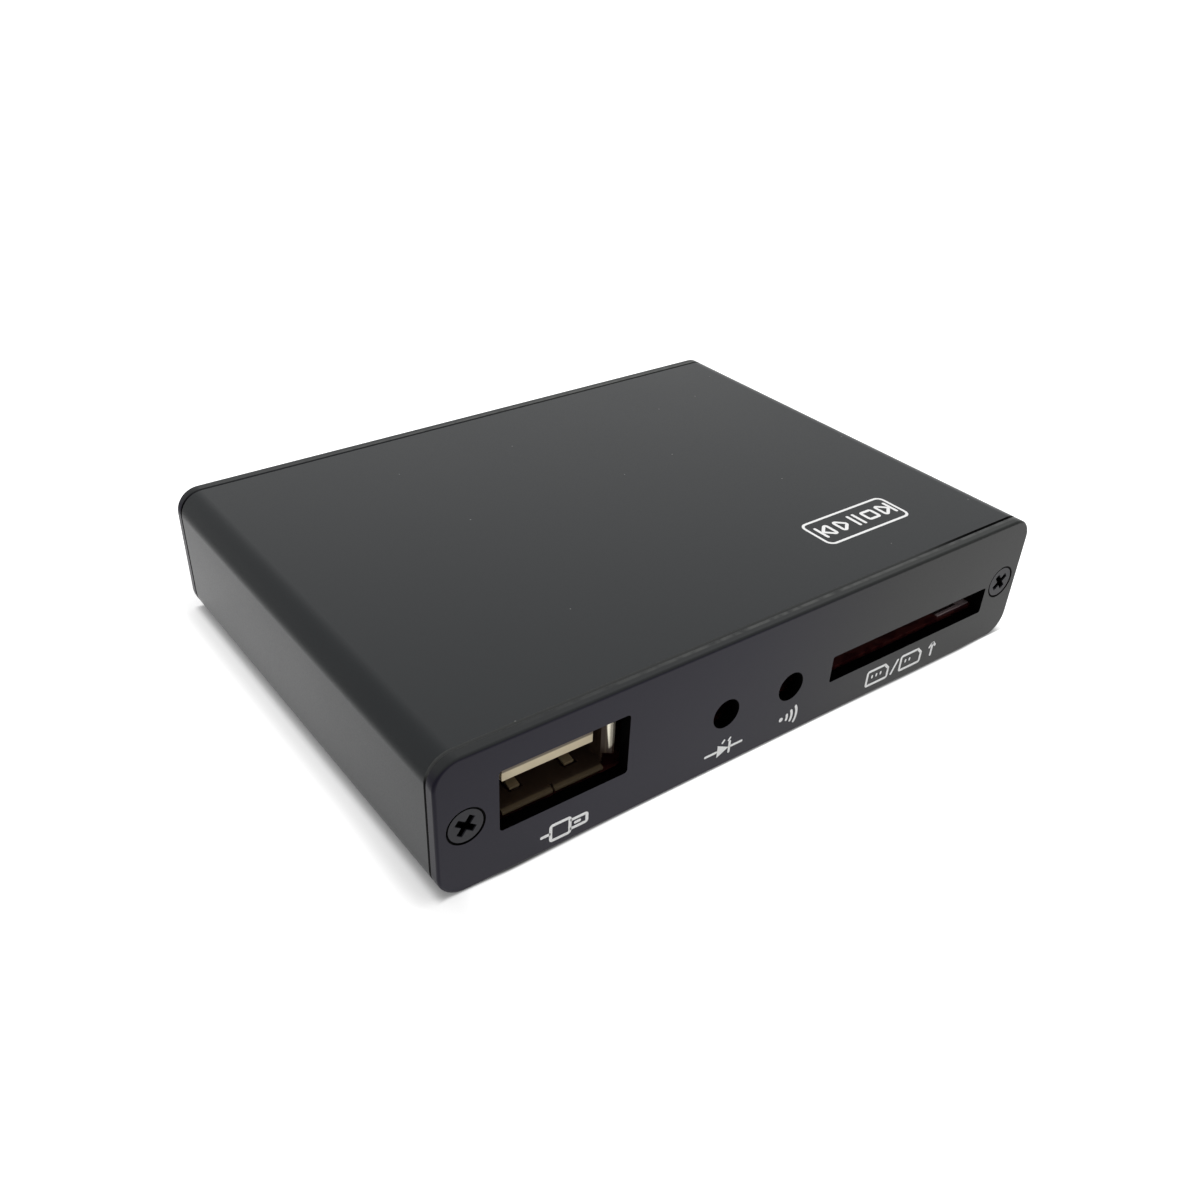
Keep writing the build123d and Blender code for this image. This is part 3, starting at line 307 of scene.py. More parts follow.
nickelLook = {
    "dark": (0.54, 0.5, 0.4, 1), "light": (0.62, 0.59, 0.49, 1), "patch": 3, "grain": 0.1,
    "rough": 0.24, "grainGloss": 0.1, "patchGloss": 0.1, "bump": 0.0004, "stretch": (1, 0.12, 1),
    "shine": 0.15, "inside": (0.036, 0.023, 0.016, 1), "insideMetal": 0.15, "middle": -28.3,
    "lipDepth": (29.22, 29.42), "lipSide": (6.62, 6.76), "lipFoot": (7.6, 7.95), "lipSlant": 1.4,
    "slantFrom": 6.75, "lipFade": (6.85, 7.12), "fadeShare": 0.6, "lipLean": 0.09, "leanFrom": 11,
    "lowerLip": (0.1, 0.075, 0.045, 1),
    "finger": 3.35, "fingerHalf": 0.6, "fingerDepth": 27.7, "fingerTone": (0.22, 0.17, 0.1, 1),
}


def portNickel():
    paint, layers = grainLayers("portNickel", nickelLook)
    depth = paint.axis("Y").size()
    aside = (paint.axis("X") - nickelLook["middle"] * mm).size()
    lip = paint.band(depth, nickelLook["lipDepth"])
    sideLip = lip * paint.band(aside, nickelLook["lipSide"])
    rise = paint.axis("Z") - nickelLook["lipSlant"] * (aside - nickelLook["slantFrom"] * mm)
    fade = 1 - nickelLook["fadeShare"] * paint.band(aside, nickelLook["lipFade"])
    leaning = aside + nickelLook["lipLean"] * (paint.axis("Z") - nickelLook["leanFrom"] * mm)
    inner = paint.band(leaning, nickelLook["lipSide"])
    # Only this sliver of the right lip keeps the plain nickel and its real shine, fading outward and
    # tapering at its foot
    unshadedSliver = lip * inner * fade * paint.band(rise, nickelLook["lipFoot"])
    onFinger = ((aside - nickelLook["finger"] * mm).size() < nickelLook["fingerHalf"] * mm) * (
        depth < nickelLook["fingerDepth"] * mm)
    # Painted shade: the rest of the port is a dull dark brown, the lower lip a dark brown, and the spring
    # fingers a lighter brown as painted light
    inside = paint.mix(onFinger, nickelLook["inside"], nickelLook["fingerTone"])
    inside = paint.mix(lip * (1 - sideLip), inside, nickelLook["lowerLip"])
    layers["Base Color"] = paint.mix(unshadedSliver, inside, layers["Base Color"])
    layers["Metallic"] = nickelLook["insideMetal"] + (1 - nickelLook["insideMetal"]) * unshadedSliver
    return paint.surface(layers)


sheetLook = {
    "dark": (0.5, 0.5, 0.5, 1), "light": (0.66, 0.66, 0.65, 1), "patch": 4, "grain": 0.1, "metal": 1,
    "rough": 0.3, "grainGloss": 0.2, "patchGloss": 0.15, "bump": 0.001, "stretch": (0.12, 1, 1),
    "lugTo": 28.25, "lug": (0.42, 0.33, 0.34, 1), "lugMetal": 0.2,
    "foldTo": 29.0, "foldX": 35.2, "fold": (0.03, 0.018, 0.018, 1),
}


def sheetSteel():
    paint, layers = grainLayers("sheetSteel", sheetLook)
    lug = paint.axis("Y").size() > sheetLook["lugTo"] * mm  # pinkish and less metallic
    fold = (paint.axis("Y").size() < sheetLook["foldTo"] * mm) * (paint.axis("X") < sheetLook["foldX"] * mm)
    # Painted shade: the lug is near-black where it meets the fold
    lugTones = paint.mix(fold, sheetLook["lug"], sheetLook["fold"])
    layers["Base Color"] = paint.mix(lug, layers["Base Color"], lugTones)
    layers["Metallic"] = 1 - (1 - sheetLook["lugMetal"]) * lug
    return paint.surface(layers)


goldLook = {
    "dark": (0.62, 0.4, 0.14, 1), "light": (0.8, 0.58, 0.25, 1), "patch": 0.8, "grain": 0.06, "metal": 1,
    "rough": 0.26, "grainGloss": 0.12, "patchGloss": 0.15, "bump": 0.0008,
}
tinLook = {
    "dark": (0.55, 0.55, 0.56, 1), "light": (0.74, 0.74, 0.76, 1), "patch": 0.6, "grain": 0.08, "metal": 1,
    "rough": 0.34, "grainGloss": 0.2, "patchGloss": 0.2, "bump": 0.003,
}
springLook = {
    "dark": (0.42, 0.42, 0.44, 1), "light": (0.6, 0.6, 0.62, 1), "patch": 0.5, "grain": 0.05, "metal": 1,
    "rough": 0.24, "grainGloss": 0.12, "patchGloss": 0.1, "bump": 0.0006,
}
ivoryLook = {
    "dark": (0.78, 0.66, 0.44, 1), "light": (0.86, 0.75, 0.53, 1), "patch": 2.2, "grain": 0.09,
    "rough": 0.42, "grainGloss": 0.12, "patchGloss": 0.1, "bump": 0.0015, "shine": 0.5,
    "shade": (0.15, 0.115, 0.075, 1), "shadeRise": (0.95, 1.2), "tongueFoot": 8.97,
}


def tongueIvory():
    paint, layers = grainLayers("tongueIvory", ivoryLook)
    under = paint.band(paint.axis("Z") - ivoryLook["tongueFoot"] * mm, ivoryLook["shadeRise"])
    layers["Base Color"] = paint.mix(under, layers["Base Color"], ivoryLook["shade"])  # painted shade under the roof
    return paint.surface(layers)


plasticLook = {
    "dark": (0.012, 0.012, 0.013, 1), "light": (0.022, 0.022, 0.023, 1), "patch": 2.5, "grain": 0.1,
    "rough": 0.48, "grainGloss": 0.16, "patchGloss": 0.1, "bump": 0.003, "shine": 0.45,
}
receiverLook = {
    "dark": (0.008, 0.006, 0.009, 1), "light": (0.014, 0.01, 0.016, 1), "patch": 1.5, "grain": 0.1,
    "rough": 0.16, "grainGloss": 0.06, "patchGloss": 0.06, "bump": 0.0008, "shine": 0.5,
}
chipLook = {
    "dark": (0.02, 0.02, 0.021, 1), "light": (0.035, 0.035, 0.036, 1), "patch": 1.4, "grain": 0.07,
    "rough": 0.62, "grainGloss": 0.2, "patchGloss": 0.12, "bump": 0.004, "shine": 0.4,
}
sinkLook = {
    "dark": (0.58, 0.58, 0.6, 1), "light": (0.74, 0.74, 0.76, 1), "patch": 3, "grain": 0.08, "metal": 1,
    "rough": 0.38, "grainGloss": 0.22, "patchGloss": 0.16, "bump": 0.002, "stretch": (1, 0.06, 1),
}
padLook = {
    "dark": (0.34, 0.36, 0.4, 1), "light": (0.46, 0.48, 0.52, 1), "patch": 1.5, "grain": 0.12,
    "rough": 0.8, "grainGloss": 0.16, "patchGloss": 0.1, "bump": 0.01, "shine": 0.3,
}
ferriteLook = {
    "dark": (0.05, 0.05, 0.052, 1), "light": (0.12, 0.12, 0.124, 1), "patch": 0.9, "grain": 0.09,
    "rough": 0.66, "grainGloss": 0.2, "patchGloss": 0.16, "bump": 0.008, "shine": 0.4,
}
canLook = {
    "dark": (0.62, 0.62, 0.64, 1), "light": (0.78, 0.78, 0.8, 1), "patch": 2, "grain": 0.07, "metal": 1,
    "rough": 0.27, "grainGloss": 0.16, "patchGloss": 0.1, "bump": 0.001, "stretch": (1, 1, 0.1),
}
ceramicLook = {
    "dark": (0.34, 0.24, 0.14, 1), "light": (0.5, 0.38, 0.25, 1), "patch": 0.5, "grain": 0.06,
    "rough": 0.5, "grainGloss": 0.16, "patchGloss": 0.1, "bump": 0.002, "shine": 0.45,
}
inkLook = {
    "dark": (0.86, 0.86, 0.86, 1), "light": (0.95, 0.95, 0.94, 1), "patch": 0.5, "grain": 0.06,
    "rough": 0.55, "grainGloss": 0.16, "patchGloss": 0.1, "bump": 0.002, "shine": 0.4,
}
lensLook = {
    "dark": (0.02, 0.001, 0.001, 1), "light": (0.035, 0.002, 0.002, 1), "patch": 1.2, "grain": 0.1,
    "rough": 0.14, "grainGloss": 0.05, "patchGloss": 0.05, "bump": 0.0006, "shine": 0.5,
}
# The board is red, and its red and traces are darkened as painted shade, for it is seen only deep inside
boardLook = {
    "dark": (0.026, 0.0038, 0.005, 1), "light": (0.044, 0.006, 0.008, 1), "patch": 6, "grain": 0.12,
    "rough": 0.3, "grainGloss": 0.1, "patchGloss": 0.1, "bump": 0.002, "shine": 0.5,
    "traceCell": 3.2, "traceLine": 0.14, "traceJitter": 0.8, "trace": (0.065, 0.014, 0.013, 1),
}


def boardRed():
    paint, layers = grainLayers("boardRed", boardLook)
    cells = {"Vector": paint.place(), "Scale": 1 / (boardLook["traceCell"] * mm),
             "Randomness": boardLook["traceJitter"]}
    style = {"feature": "DISTANCE_TO_EDGE", "voronoi_dimensions": "2D"}
    lines = paint.node("TexVoronoi", style, cells) < boardLook["traceLine"]  # copper under the mask
    layers["Base Color"] = paint.mix(lines, layers["Base Color"], boardLook["trace"])
    return paint.surface(layers)


finishes = {
    "board_red": boardRed(),
    "case_black": sleeveBlack(),
    "screw_black": screwBlack(),
    "port_nickel": portNickel(),
    "sheet_steel": sheetSteel(),
    "contact_gold": grainFinish("contactGold", goldLook),
    "lead_tin": grainFinish("leadTin", tinLook),
    "spring_steel": grainFinish("springSteel", springLook),
    "tongue_ivory": tongueIvory(),
    "plastic_black": grainFinish("plasticBlack", plasticLook),
    "lens_red": grainFinish("lensRed", lensLook),
    "receiver_black": grainFinish("receiverBlack", receiverLook),
    "chip_black": grainFinish("chipBlack", chipLook),
    "sink_aluminium": grainFinish("sinkAluminium", sinkLook),
    "pad_grey": grainFinish("padGrey", padLook),
    "ferrite_grey": grainFinish("ferriteGrey", ferriteLook),
    "can_aluminium": grainFinish("canAluminium", canLook),
    "ceramic_tan": grainFinish("ceramicTan", ceramicLook),
}
panelFinish = panelBlack()
inkWhite = grainFinish("inkWhite", inkLook)
print("finishes:", len(bpy.data.materials))


def bodyOf(node):
    return nodes[node].parent.name.split(":")[1]


def finishOf(node):
    return panelFinish if node in ("front_panel", "rear_panel") else finishes[slotOf[node]]


def newPiece(name, form, finish, body, turnAngle=40):
    mesh = bpy.data.meshes.new(name)
    form.to_mesh(mesh)
    form.free()
    mesh.shade_smooth()
    mesh.set_sharp_from_angle(angle=radians(turnAngle))
    mesh.materials.append(finish)
    piece = bpy.data.objects.new(name, mesh)
    bpy.context.scene.collection.objects.link(piece)
    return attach(piece, body)


# CAD nodes with round faces or edges that catch light: a welded, softened copy stands for each
softEdges = {  # width of the softened edges in mm
    "case_sleeve": 0, "front_panel": 0.05, "rear_panel": 0.05, "front_panel_screws": 0.03,
    "rear_panel_screws": 0.03, "data_port_shell": 0.05, "data_port_insulator": 0.08,
    "card_socket_base": 0.05, "card_socket_cover": 0.04, "card_carriage": 0.06, "carriage_latch_pin": 0,
    "status_light_lens": 0.05, "status_light_holder": 0.06, "remote_receiver_body": 0.08,
    "video_port_shell": 0.05, "video_port_insulator": 0.06, "audio_jack_body": 0.08,
    "audio_jack_bush": 0.06, "power_jack_body": 0.1, "power_jack_pin": 0, "heat_sink": 0.08,
    "memory_chip": 0.05, "flash_chip": 0.08, "clock_crystal": 0, "power_inductor": 0.08,
    "regulator_chips": 0.04, "capacitor_bases": 0.06, "capacitor_cans": 0,
}
weldGap = 0.001 * mm
sharpAngle = radians(30)
flatAngle = radians(0.3)
edgeSteps = 2
roundProfile = 0.5
for node, edge in softEdges.items():
    form = bmesh.new()
    form.from_mesh(nodes[node].data)
    bmesh.ops.remove_doubles(form, verts=form.verts, dist=weldGap)
    bmesh.ops.dissolve_limit(form, angle_limit=flatAngle, verts=form.verts, edges=form.edges)
    if edge:
        sharp = [line for line in form.edges if line.is_manifold and line.calc_face_angle() > sharpAngle]
        bmesh.ops.bevel(form, geom=sharp, offset=edge * mm, offset_type="OFFSET", segments=edgeSteps,
                        profile=roundProfile, affect="EDGES", clamp_overlap=True, material=-1)
    first, *rest = node.split("_")
    piece = newPiece(first + "".join(word.title() for word in rest), form, finishOf(node), bodyOf(node))
    piece.modifiers.new("evenFaces", "WEIGHTED_NORMAL").keep_sharp = True
    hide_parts(node)
for node, shown in nodes.items():
    if node not in softEdges:
        shown.data.materials[0] = finishOf(node)
print("dressed nodes:", len(softEdges))


# Carriage spring: a real coil in place of its plain sleeve
coil = {"wire": 0.2, "turns": 15, "stepsPerTurn": 20, "wireSides": 8, "turnAngle": 80}
springLow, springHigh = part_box("carriage_spring")
springMiddle = (springLow + springHigh) / 2
springLength = springHigh.y - springLow.y
wireRadius = coil["wire"] * mm / 2
coilRadius = (springHigh.x - springLow.x) / 2 - wireRadius
pitch = (springLength - 2 * wireRadius) / coil["turns"]
form = bmesh.new()
section = Matrix.Translation((springMiddle.x + coilRadius, springLow.y + wireRadius, springMiddle.z))
bmesh.ops.create_circle(form, segments=coil["wireSides"], radius=wireRadius, matrix=section)
steps = coil["turns"] * coil["stepsPerTurn"]
bmesh.ops.spin(form, geom=form.edges[:] + form.verts[:], cent=springMiddle, axis=(0, 1, 0),
               dvec=(0, pitch / coil["stepsPerTurn"], 0), angle=2 * pi * coil["turns"], steps=steps)
bmesh.ops.holes_fill(form, edges=[line for line in form.edges if line.is_boundary], sides=coil["wireSides"])
bmesh.ops.recalc_face_normals(form, faces=form.faces)
spring = newPiece("carriageSpring", form, finishes["spring_steel"], "player", coil["turnAngle"])
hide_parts("carriage_spring")
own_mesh(spring)
print("coil spring:", coil["turns"], "turns")


# Printed signs: each line is a short edge pulled along its runs and spun round its bends
ink = {"film": 0.02, "sink": 0.01, "bendSteps": 6, "capSteps": 4, "capShare": 0.49, "weld": 0.001,
       "dotSides": 20, "turnAngle": 20}


def inkLine(form, start, heading, width, moves, closed=False):
    along = Vector((cos(radians(heading)), sin(radians(heading)), 0))
    at = Vector((*start, 0))
    left = Vector((-along.y, along.x, 0))
    across = form.edges.new([form.verts.new(at + left * width / 2), form.verts.new(at - left * width / 2)])
    corners = list(across.verts)
    for run, bend, radius in moves:
        if run:
            grown = bmesh.ops.extrude_edge_only(form, edges=[across])["geom"]
            ends = [part for part in grown if isinstance(part, bmesh.types.BMVert)]
            bmesh.ops.translate(form, verts=ends, vec=along * run)
            across = next(line for line in ends[0].link_edges if line.other_vert(ends[0]) is ends[1])
            at = at + along * run
        if bend:
            turn = Matrix.Rotation(radians(bend), 3, "Z")
            left = Vector((-along.y, along.x, 0))
            centre = at + left * (radius if bend > 0 else -radius)
            spun = bmesh.ops.spin(form, geom=[across, *across.verts], cent=centre, axis=(0, 0, 1),
                                  angle=radians(bend), steps=ink["bendSteps"])["geom_last"]
            across = next(part for part in spun if isinstance(part, bmesh.types.BMEdge))
            at = centre + turn @ (at - centre)
            along = turn @ along
    if closed:
        bmesh.ops.remove_doubles(form, verts=form.verts, dist=ink["weld"])
    else:
        corners += list(across.verts)
        bmesh.ops.bevel(form, geom=corners, offset=width * ink["capShare"], offset_type="OFFSET",
                        segments=ink["capSteps"], profile=roundProfile, affect="VERTICES",
                        clamp_overlap=True, material=-1)


def inkFrame(form, low, high, width, radius):
    wide, tall = high[0] - low[0] - 2 * radius, high[1] - low[1] - 2 * radius
    sides = [(wide, 90, radius), (tall, 90, radius), (wide, 90, radius), (tall, 90, radius)]
    inkLine(form, (low[0] + radius, low[1]), 0, width, sides, closed=True)


def inkDot(form, middle, radius):
    bmesh.ops.create_circle(form, cap_ends=True, segments=ink["dotSides"], radius=radius,
                            matrix=Matrix.Translation((*middle, 0)))


def printOn(name, form, place):  # gives the flat drawing its film of ink and lays it on its face
    grown = bmesh.ops.extrude_face_region(form, geom=form.faces[:])["geom"]
    raised = [part for part in grown if isinstance(part, bmesh.types.BMVert)]
    bmesh.ops.translate(form, verts=raised, vec=(0, 0, ink["film"]))
    bmesh.ops.translate(form, verts=form.verts, vec=(0, 0, -ink["sink"]))
    bmesh.ops.recalc_face_normals(form, faces=form.faces)
    bmesh.ops.transform(form, matrix=place @ Matrix.Scale(mm, 4), verts=form.verts)
    return newPiece(name, form, inkWhite, "player", ink["turnAngle"])


caseLow, caseHigh = cadBounds
frontFace = Matrix.Translation((0, caseLow.y, caseLow.z)) @ Matrix.Rotation(pi / 2, 4, "X")
topFace = Matrix.Translation((0, 0, caseHigh.z))

# Plug sign under the data port: cable, body and head
plugSign = {"line": 0.38, "z": 2.15, "cable": (-31.2, 1.3), "body": ((-29.9, 1.12), (-27.5, 3.18)),
            "head": (2.75, 1.9, 0.7), "round": 0.25, "blade": (-27.0, 0.9)}
form = bmesh.new()
inkLine(form, (plugSign["cable"][0], plugSign["z"]), 0, plugSign["line"], [(plugSign["cable"][1], 0, 0)])
inkFrame(form, *plugSign["body"], plugSign["line"], plugSign["round"])
headTop, headRun, headFall = plugSign["head"]
inkLine(form, (plugSign["body"][1][0], headTop), 0, plugSign["line"],
        [(headRun, -90, plugSign["round"]), (headFall, -90, plugSign["round"]), (headRun, 0, 0)])
inkLine(form, (plugSign["blade"][0], plugSign["z"]), 0, plugSign["line"], [(plugSign["blade"][1], 0, 0)])
printOn("plugSign", form, frontFace)

# Lamp sign under the light: a diode with its leads and two rays
lampSign = {"line": 0.34, "z": 2.4, "leads": ((-9.4, 1.9), (-5.6, 1.9)), "cone": (-7.5, 1.7, 0.85),
            "bar": (-5.7, 0.9), "rays": ((-6.9, 3.3), (-6.0, 3.3)), "ray": (52, 0.62), "rayShare": 0.8}
form = bmesh.new()
for leadX, leadRun in lampSign["leads"]:
    inkLine(form, (leadX, lampSign["z"]), 0, lampSign["line"], [(leadRun, 0, 0)])
coneX, coneRun, coneHalf = lampSign["cone"]
cone = [(coneX, coneHalf), (coneX, -coneHalf), (coneX + coneRun, 0)]
form.faces.new([form.verts.new((x, lampSign["z"] + rise, 0)) for x, rise in cone])
barX, barHalf = lampSign["bar"]
inkLine(form, (barX, lampSign["z"] - barHalf), 90, lampSign["line"], [(2 * barHalf, 0, 0)])
rayTurn, rayRun = lampSign["ray"]
for ray in lampSign["rays"]:
    inkLine(form, ray, rayTurn, lampSign["line"] * lampSign["rayShare"], [(rayRun, 0, 0)])
printOn("lampSign", form, frontFace)

# Wave sign under the remote window: a dot and three arcs
waveSign = {"line": 0.36, "dot": (2.2, 2.65), "dotRadius": 0.3, "arcs": (0.95, 1.7, 2.45), "half": 31}
form = bmesh.new()
inkDot(form, waveSign["dot"], waveSign["dotRadius"])
for radius in waveSign["arcs"]:
    half = radians(waveSign["half"])
    start = (waveSign["dot"][0] + radius * cos(half), waveSign["dot"][1] - radius * sin(half))
    inkLine(form, start, 90 - waveSign["half"], waveSign["line"], [(0, 2 * waveSign["half"], radius)])
printOn("waveSign", form, frontFace)

# Card sign under the slot: two cards with a cut corner, a stroke between them and an arrow in
cardSign = {"line": 0.36, "low": 1.4, "high": 3.5, "wide": 3.7, "cut": 0.7, "cutBend": (45, 0.001),
            "round": 0.25, "cards": (16.6, 22.6), "bars": (3, 2), "bar": (0.9, 0.75, 0.5),
            "barShare": 0.8, "stroke": (21.0, 64, 2.3),
            "arrow": (28.4, 1.4, 2.1), "barb": (0.95, 40)}
form = bmesh.new()
for cardX, bars in zip(cardSign["cards"], cardSign["bars"]):
    tall = cardSign["high"] - cardSign["low"]
    corner = cardSign["round"]
    slant = hypot(cardSign["cut"], cardSign["cut"])
    sides = [(cardSign["wide"] - 2 * corner, 90, corner),
             (tall - corner - cardSign["cut"], *cardSign["cutBend"]), (slant, *cardSign["cutBend"]),
             (cardSign["wide"] - cardSign["cut"] - corner, 90, corner), (tall - 2 * corner, 90, corner)]
    inkLine(form, (cardX + corner, cardSign["low"]), 0, cardSign["line"], sides, closed=True)
    barIn, barStep, barRun = cardSign["bar"]
    barLine = cardSign["line"] * cardSign["barShare"]
    for index in range(bars):
        barFoot = (cardX + barIn + index * barStep, cardSign["low"] + barIn)
        inkLine(form, barFoot, 90, barLine, [(barRun, 0, 0)])
strokeX, strokeTurn, strokeRun = cardSign["stroke"]
inkLine(form, (strokeX, cardSign["low"]), strokeTurn, cardSign["line"], [(strokeRun, 0, 0)])
arrowX, arrowLow, arrowRun = cardSign["arrow"]
inkLine(form, (arrowX, arrowLow), 90, cardSign["line"], [(arrowRun, 0, 0)])
barbRun, barbTurn = cardSign["barb"]
for side in (-1, 1):
    inkLine(form, (arrowX, arrowLow + arrowRun), 270 + side * barbTurn, cardSign["line"], [(barbRun, 0, 0)])
printOn("cardSign", form, frontFace)

# Badge on the top: a round-cornered frame with five transport marks
badge = {
    "line": 0.36, "low": (16.3, -22.7), "high": (30.15, -17.5), "round": 0.9, "mark": 0.42,
    "bottom": -21.35, "tall": 2.6, "side": 1.45, "bars": (17.35, 22.95, 23.85, 29.45),
    "arrows": ((19.1, 1), (20.3, -1), (27.7, -1)), "square": (25.0, 1.7, 0.45), "join": 0.25,
}


def inkArrow(form, x, turnWay):  # turns left round a mark that points left
    slope = atan2(badge["side"], badge["tall"] / 2)
    flank = hypot(badge["side"], badge["tall"] / 2)
    baseCut = badge["join"] / tan(slope / 2)
    tipCut = badge["join"] * tan(slope)
    baseTurn = turnWay * (180 - degrees(slope))
    tipTurn = turnWay * 2 * degrees(slope)
    run = flank - baseCut - tipCut
    sides = [(badge["tall"] - 2 * baseCut, baseTurn, badge["join"]), (run, tipTurn, badge["join"]),
             (run, baseTurn, badge["join"])]
    inkLine(form, (x, badge["bottom"] + baseCut), 90, badge["mark"], sides, closed=True)


form = bmesh.new()
inkFrame(form, badge["low"], badge["high"], badge["line"], badge["round"])
for x in badge["bars"]:
    inkLine(form, (x, badge["bottom"]), 90, badge["mark"], [(badge["tall"], 0, 0)])
for x, turnWay in badge["arrows"]:
    inkArrow(form, x, turnWay)
squareX, squareSide, squareLift = badge["square"]
squareLow = badge["bottom"] + squareLift
squareHigh = (squareX + squareSide, squareLow + squareSide)
inkFrame(form, (squareX, squareLow), squareHigh, badge["mark"], badge["join"])
printOn("topBadge", form, topFace)
print("printed signs: 5")


# Stage: a pale floor that keeps the lamp's shadow and adds a painted one, a room lit from the back and one
# soft lamp overhead
floorLook = {
    "half": 1.5, "drop": 0.02, "albedo": (0.8, 0.8, 0.8, 1),
    "nearTone": (0.7, 0.7, 0.7, 1), "nearLift": 0.1, "farTone": (0.5, 0.5, 0.5, 1), "farLift": 1.0,
    "near": (-1.2, 2.2), "frontPace": 12, "cornerPace": 2.5, "cornerX": (-42, -36),
    "hold": 0.47, "holdTo": (0.6, 4.5), "cornerShare": 0.25, "cornerY": (-31, -12),
    "aheadY": (-32.5, -30), "foot": (0.12, 0.12, 0.12, 1), "footTo": (-0.05, 0.5), "footLeft": (-40, -12),
    "footRight": (8, 26), "footShare": 0.7, "footIn": (-9, -2.6),
    "dimX": (6, 22), "dimY": (-30, 30), "dimFront": 0.3, "dimTone": (0.4, 0.4, 0.4, 1),
}


def lifted(paint, tone, lift):
    shine = paint.node("Emission", {}, {"Strength": lift})
    return paint.node("AddShader", {}, {0: paint.node("BsdfDiffuse", {}, {"Color": tone}), 1: shine})


def floorPale():
    paint = Paint(bpy.data.materials.new("floorPale"))
    cameraRay, glossyRay, clearRay = paint.rays()
    alongX = paint.axis("X")
    alongY = paint.axis("Y")
    outX = alongX.size() - caseHigh.x
    outY = alongY.size() - caseHigh.y
    straight = paint.band(alongX, floorLook["cornerX"])
    pace = floorLook["cornerPace"] + (floorLook["frontPace"] - floorLook["cornerPace"]) * straight
    reach = paint.band(outX.larger(outY * pace), floorLook["near"])
    # A painted shadow, set by the distance from the case: it has a soft tail on the left and is deepest at
    # the front-left corner
    spread = paint.band(outX, floorLook["holdTo"])
    held = floorLook["hold"] + (1 - floorLook["hold"]) * straight.larger(spread)
    corner = (1 - straight) * (1 - paint.band(alongY, floorLook["cornerY"]))
    corner = corner * paint.band(alongY, floorLook["aheadY"])
    shadow = reach.smaller(held) * (1 - floorLook["cornerShare"] * corner)
    reach = reach * (1 - cameraRay) + cameraRay * shadow
    pale = paint.blend(reach, lifted(paint, floorLook["nearTone"], floorLook["nearLift"]),
                       lifted(paint, floorLook["farTone"], floorLook["farLift"]))
    # A thin line of painted contact shadow lies under both ends of the front edge
    footRight = floorLook["footShare"] * paint.band(alongX, floorLook["footRight"])
    foot = 1 - paint.band(alongX, floorLook["footLeft"]) + footRight
    foot = foot * (1 - paint.band(outX, floorLook["footIn"])) * (1 - paint.band(outY, floorLook["footTo"]))
    contact = paint.node("BsdfDiffuse", {}, {"Color": floorLook["foot"]})
    pale = paint.blend(cameraRay * foot, pale, contact)
    # The case mirrors a dimmer floor on the far left
    leftOut = caseLow.x - alongX
    ahead = 1 - paint.band(alongY, floorLook["dimY"])
    away = paint.band(leftOut, floorLook["dimX"]).larger(floorLook["dimFront"] * ahead * (leftOut > 0))
    dim = paint.node("BsdfDiffuse", {}, {"Color": floorLook["dimTone"]})
    seen = paint.blend(glossyRay * away, pale, dim)
    plain = paint.node("BsdfDiffuse", {}, {"Color": floorLook["albedo"]})
    shown = paint.blend(cameraRay + glossyRay + clearRay, plain, seen)
    feed(paint.tree.nodes["Material Output"].inputs["Surface"], shown)
    return paint.owner


form = bmesh.new()
bmesh.ops.create_grid(form, x_segments=1, y_segments=1, size=floorLook["half"],
                      matrix=Matrix.Translation((0, 0, caseLow.z - floorLook["drop"] * mm)))
floorMesh = bpy.data.meshes.new("floor")
form.to_mesh(floorMesh)
form.free()
floorMesh.materials.append(floorPale())
floor = bpy.data.objects.new("floor", floorMesh)
bpy.context.scene.collection.objects.link(floor)

room = {"white": 1, "plain": 0.55, "left": 0.56, "right": 0.98, "farRight": 0.84, "front": 0.2,
        "leftTo": (-0.1, 0.3), "rightTo": (0.55, 0.8), "frontTo": (-0.35, 0.35)}


def sky(paint, level):
    return paint.node("Background", {}, {"Color": (1, 1, 1, 1), "Strength": level})


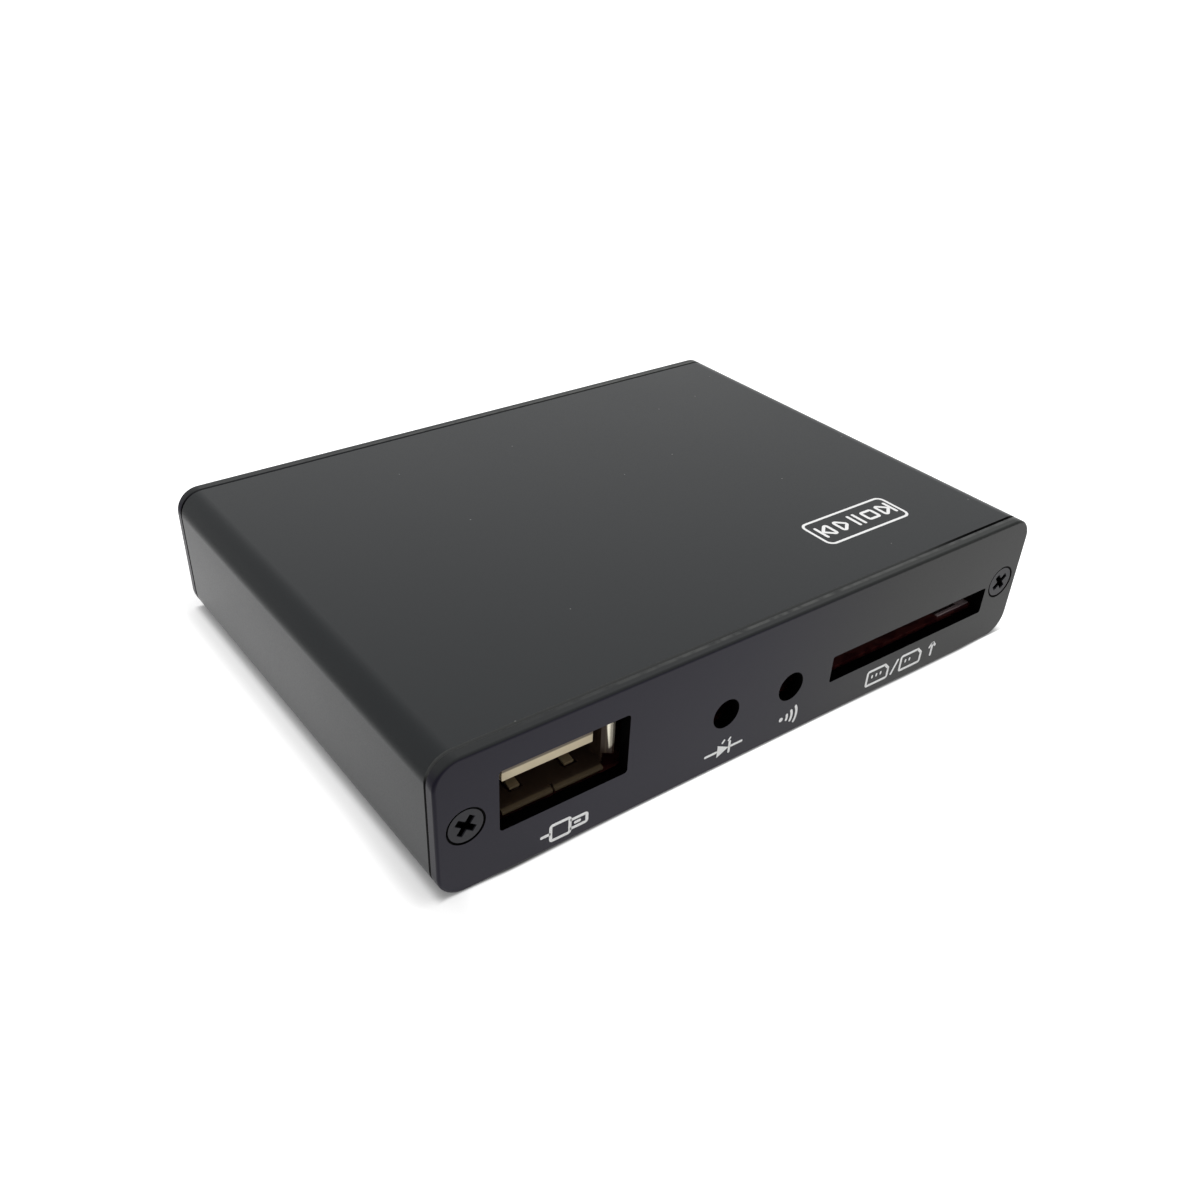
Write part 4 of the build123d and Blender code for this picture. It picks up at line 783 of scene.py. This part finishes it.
def roomLight():
    paint = Paint(bpy.data.worlds.new("room"))
    cameraRay, glossyRay, clearRay = paint.rays()
    heading = paint.node("TexCoord", output="Generated")
    across = paint.node("SeparateXYZ", {}, {"Vector": heading}, "X")
    backward = paint.ramp(paint.node("SeparateXYZ", {}, {"Vector": heading}, "Y"), *room["frontTo"])
    leftWall = sky(paint, room["left"])
    backWall = paint.blend(paint.ramp(across, *room["leftTo"]), leftWall, sky(paint, room["right"]))
    backWall = paint.blend(paint.ramp(across, *room["rightTo"]), backWall, sky(paint, room["farRight"]))
    walls = paint.blend(backward, sky(paint, room["front"]), backWall)
    lit = paint.blend(glossyRay, sky(paint, room["plain"]), walls)
    shown = paint.blend(cameraRay + clearRay, lit, sky(paint, room["white"]))
    feed(paint.tree.nodes["World Output"].inputs["Surface"], shown)
    return paint.owner


bpy.context.scene.world = roomLight()

lampSet = {"toward": (0.15, -0.02, 0.99), "spread": 40, "strength": 1.5}
lampData = bpy.data.lights.new("softLamp", "SUN")
lampData.angle = radians(lampSet["spread"])
lampData.energy = lampSet["strength"]
lamp = bpy.data.objects.new("softLamp", lampData)
lamp.rotation_mode = "QUATERNION"
lamp.rotation_quaternion = Vector(lampSet["toward"]).to_track_quat("Z", "Y")
lamp.visible_glossy = False
bpy.context.scene.collection.objects.link(lamp)
print("stage: floor, room and lamp")

# Camera at the photograph's own angle, lens and framing
shot = {"azimuth": -37.136, "elevation": 36.441, "roll": 2.095, "distance": 155.579,
        "target": (-3.519, 0, -8.346), "focalPixels": 1149.25, "middlePixel": (576.3, 677.4),
        "framePixels": 1200, "frameMiddle": 0.5, "sensor": 36}
around, above = radians(shot["azimuth"]), radians(shot["elevation"])
back = Vector((sin(around) * cos(above), -cos(around) * cos(above), sin(above)))
cameraData = bpy.data.cameras.new("photoCamera")
cameraData.sensor_width = shot["sensor"]
cameraData.lens = shot["sensor"] * shot["focalPixels"] / shot["framePixels"]
cameraData.shift_x = shot["frameMiddle"] - shot["middlePixel"][0] / shot["framePixels"]
cameraData.shift_y = shot["middlePixel"][1] / shot["framePixels"] - shot["frameMiddle"]
cameraData.clip_start = mm
camera = bpy.data.objects.new("photoCamera", cameraData)
camera.matrix_world = (Matrix.Translation((Vector(shot["target"]) + back * shot["distance"]) * mm)
                       @ back.to_track_quat("Z", "Y").to_matrix().to_4x4()
                       @ Matrix.Rotation(radians(shot["roll"]), 4, "Z"))
bpy.context.scene.collection.objects.link(camera)
bpy.context.scene.camera = camera
bpy.context.scene.view_settings.view_transform = "Standard"
print("camera set")
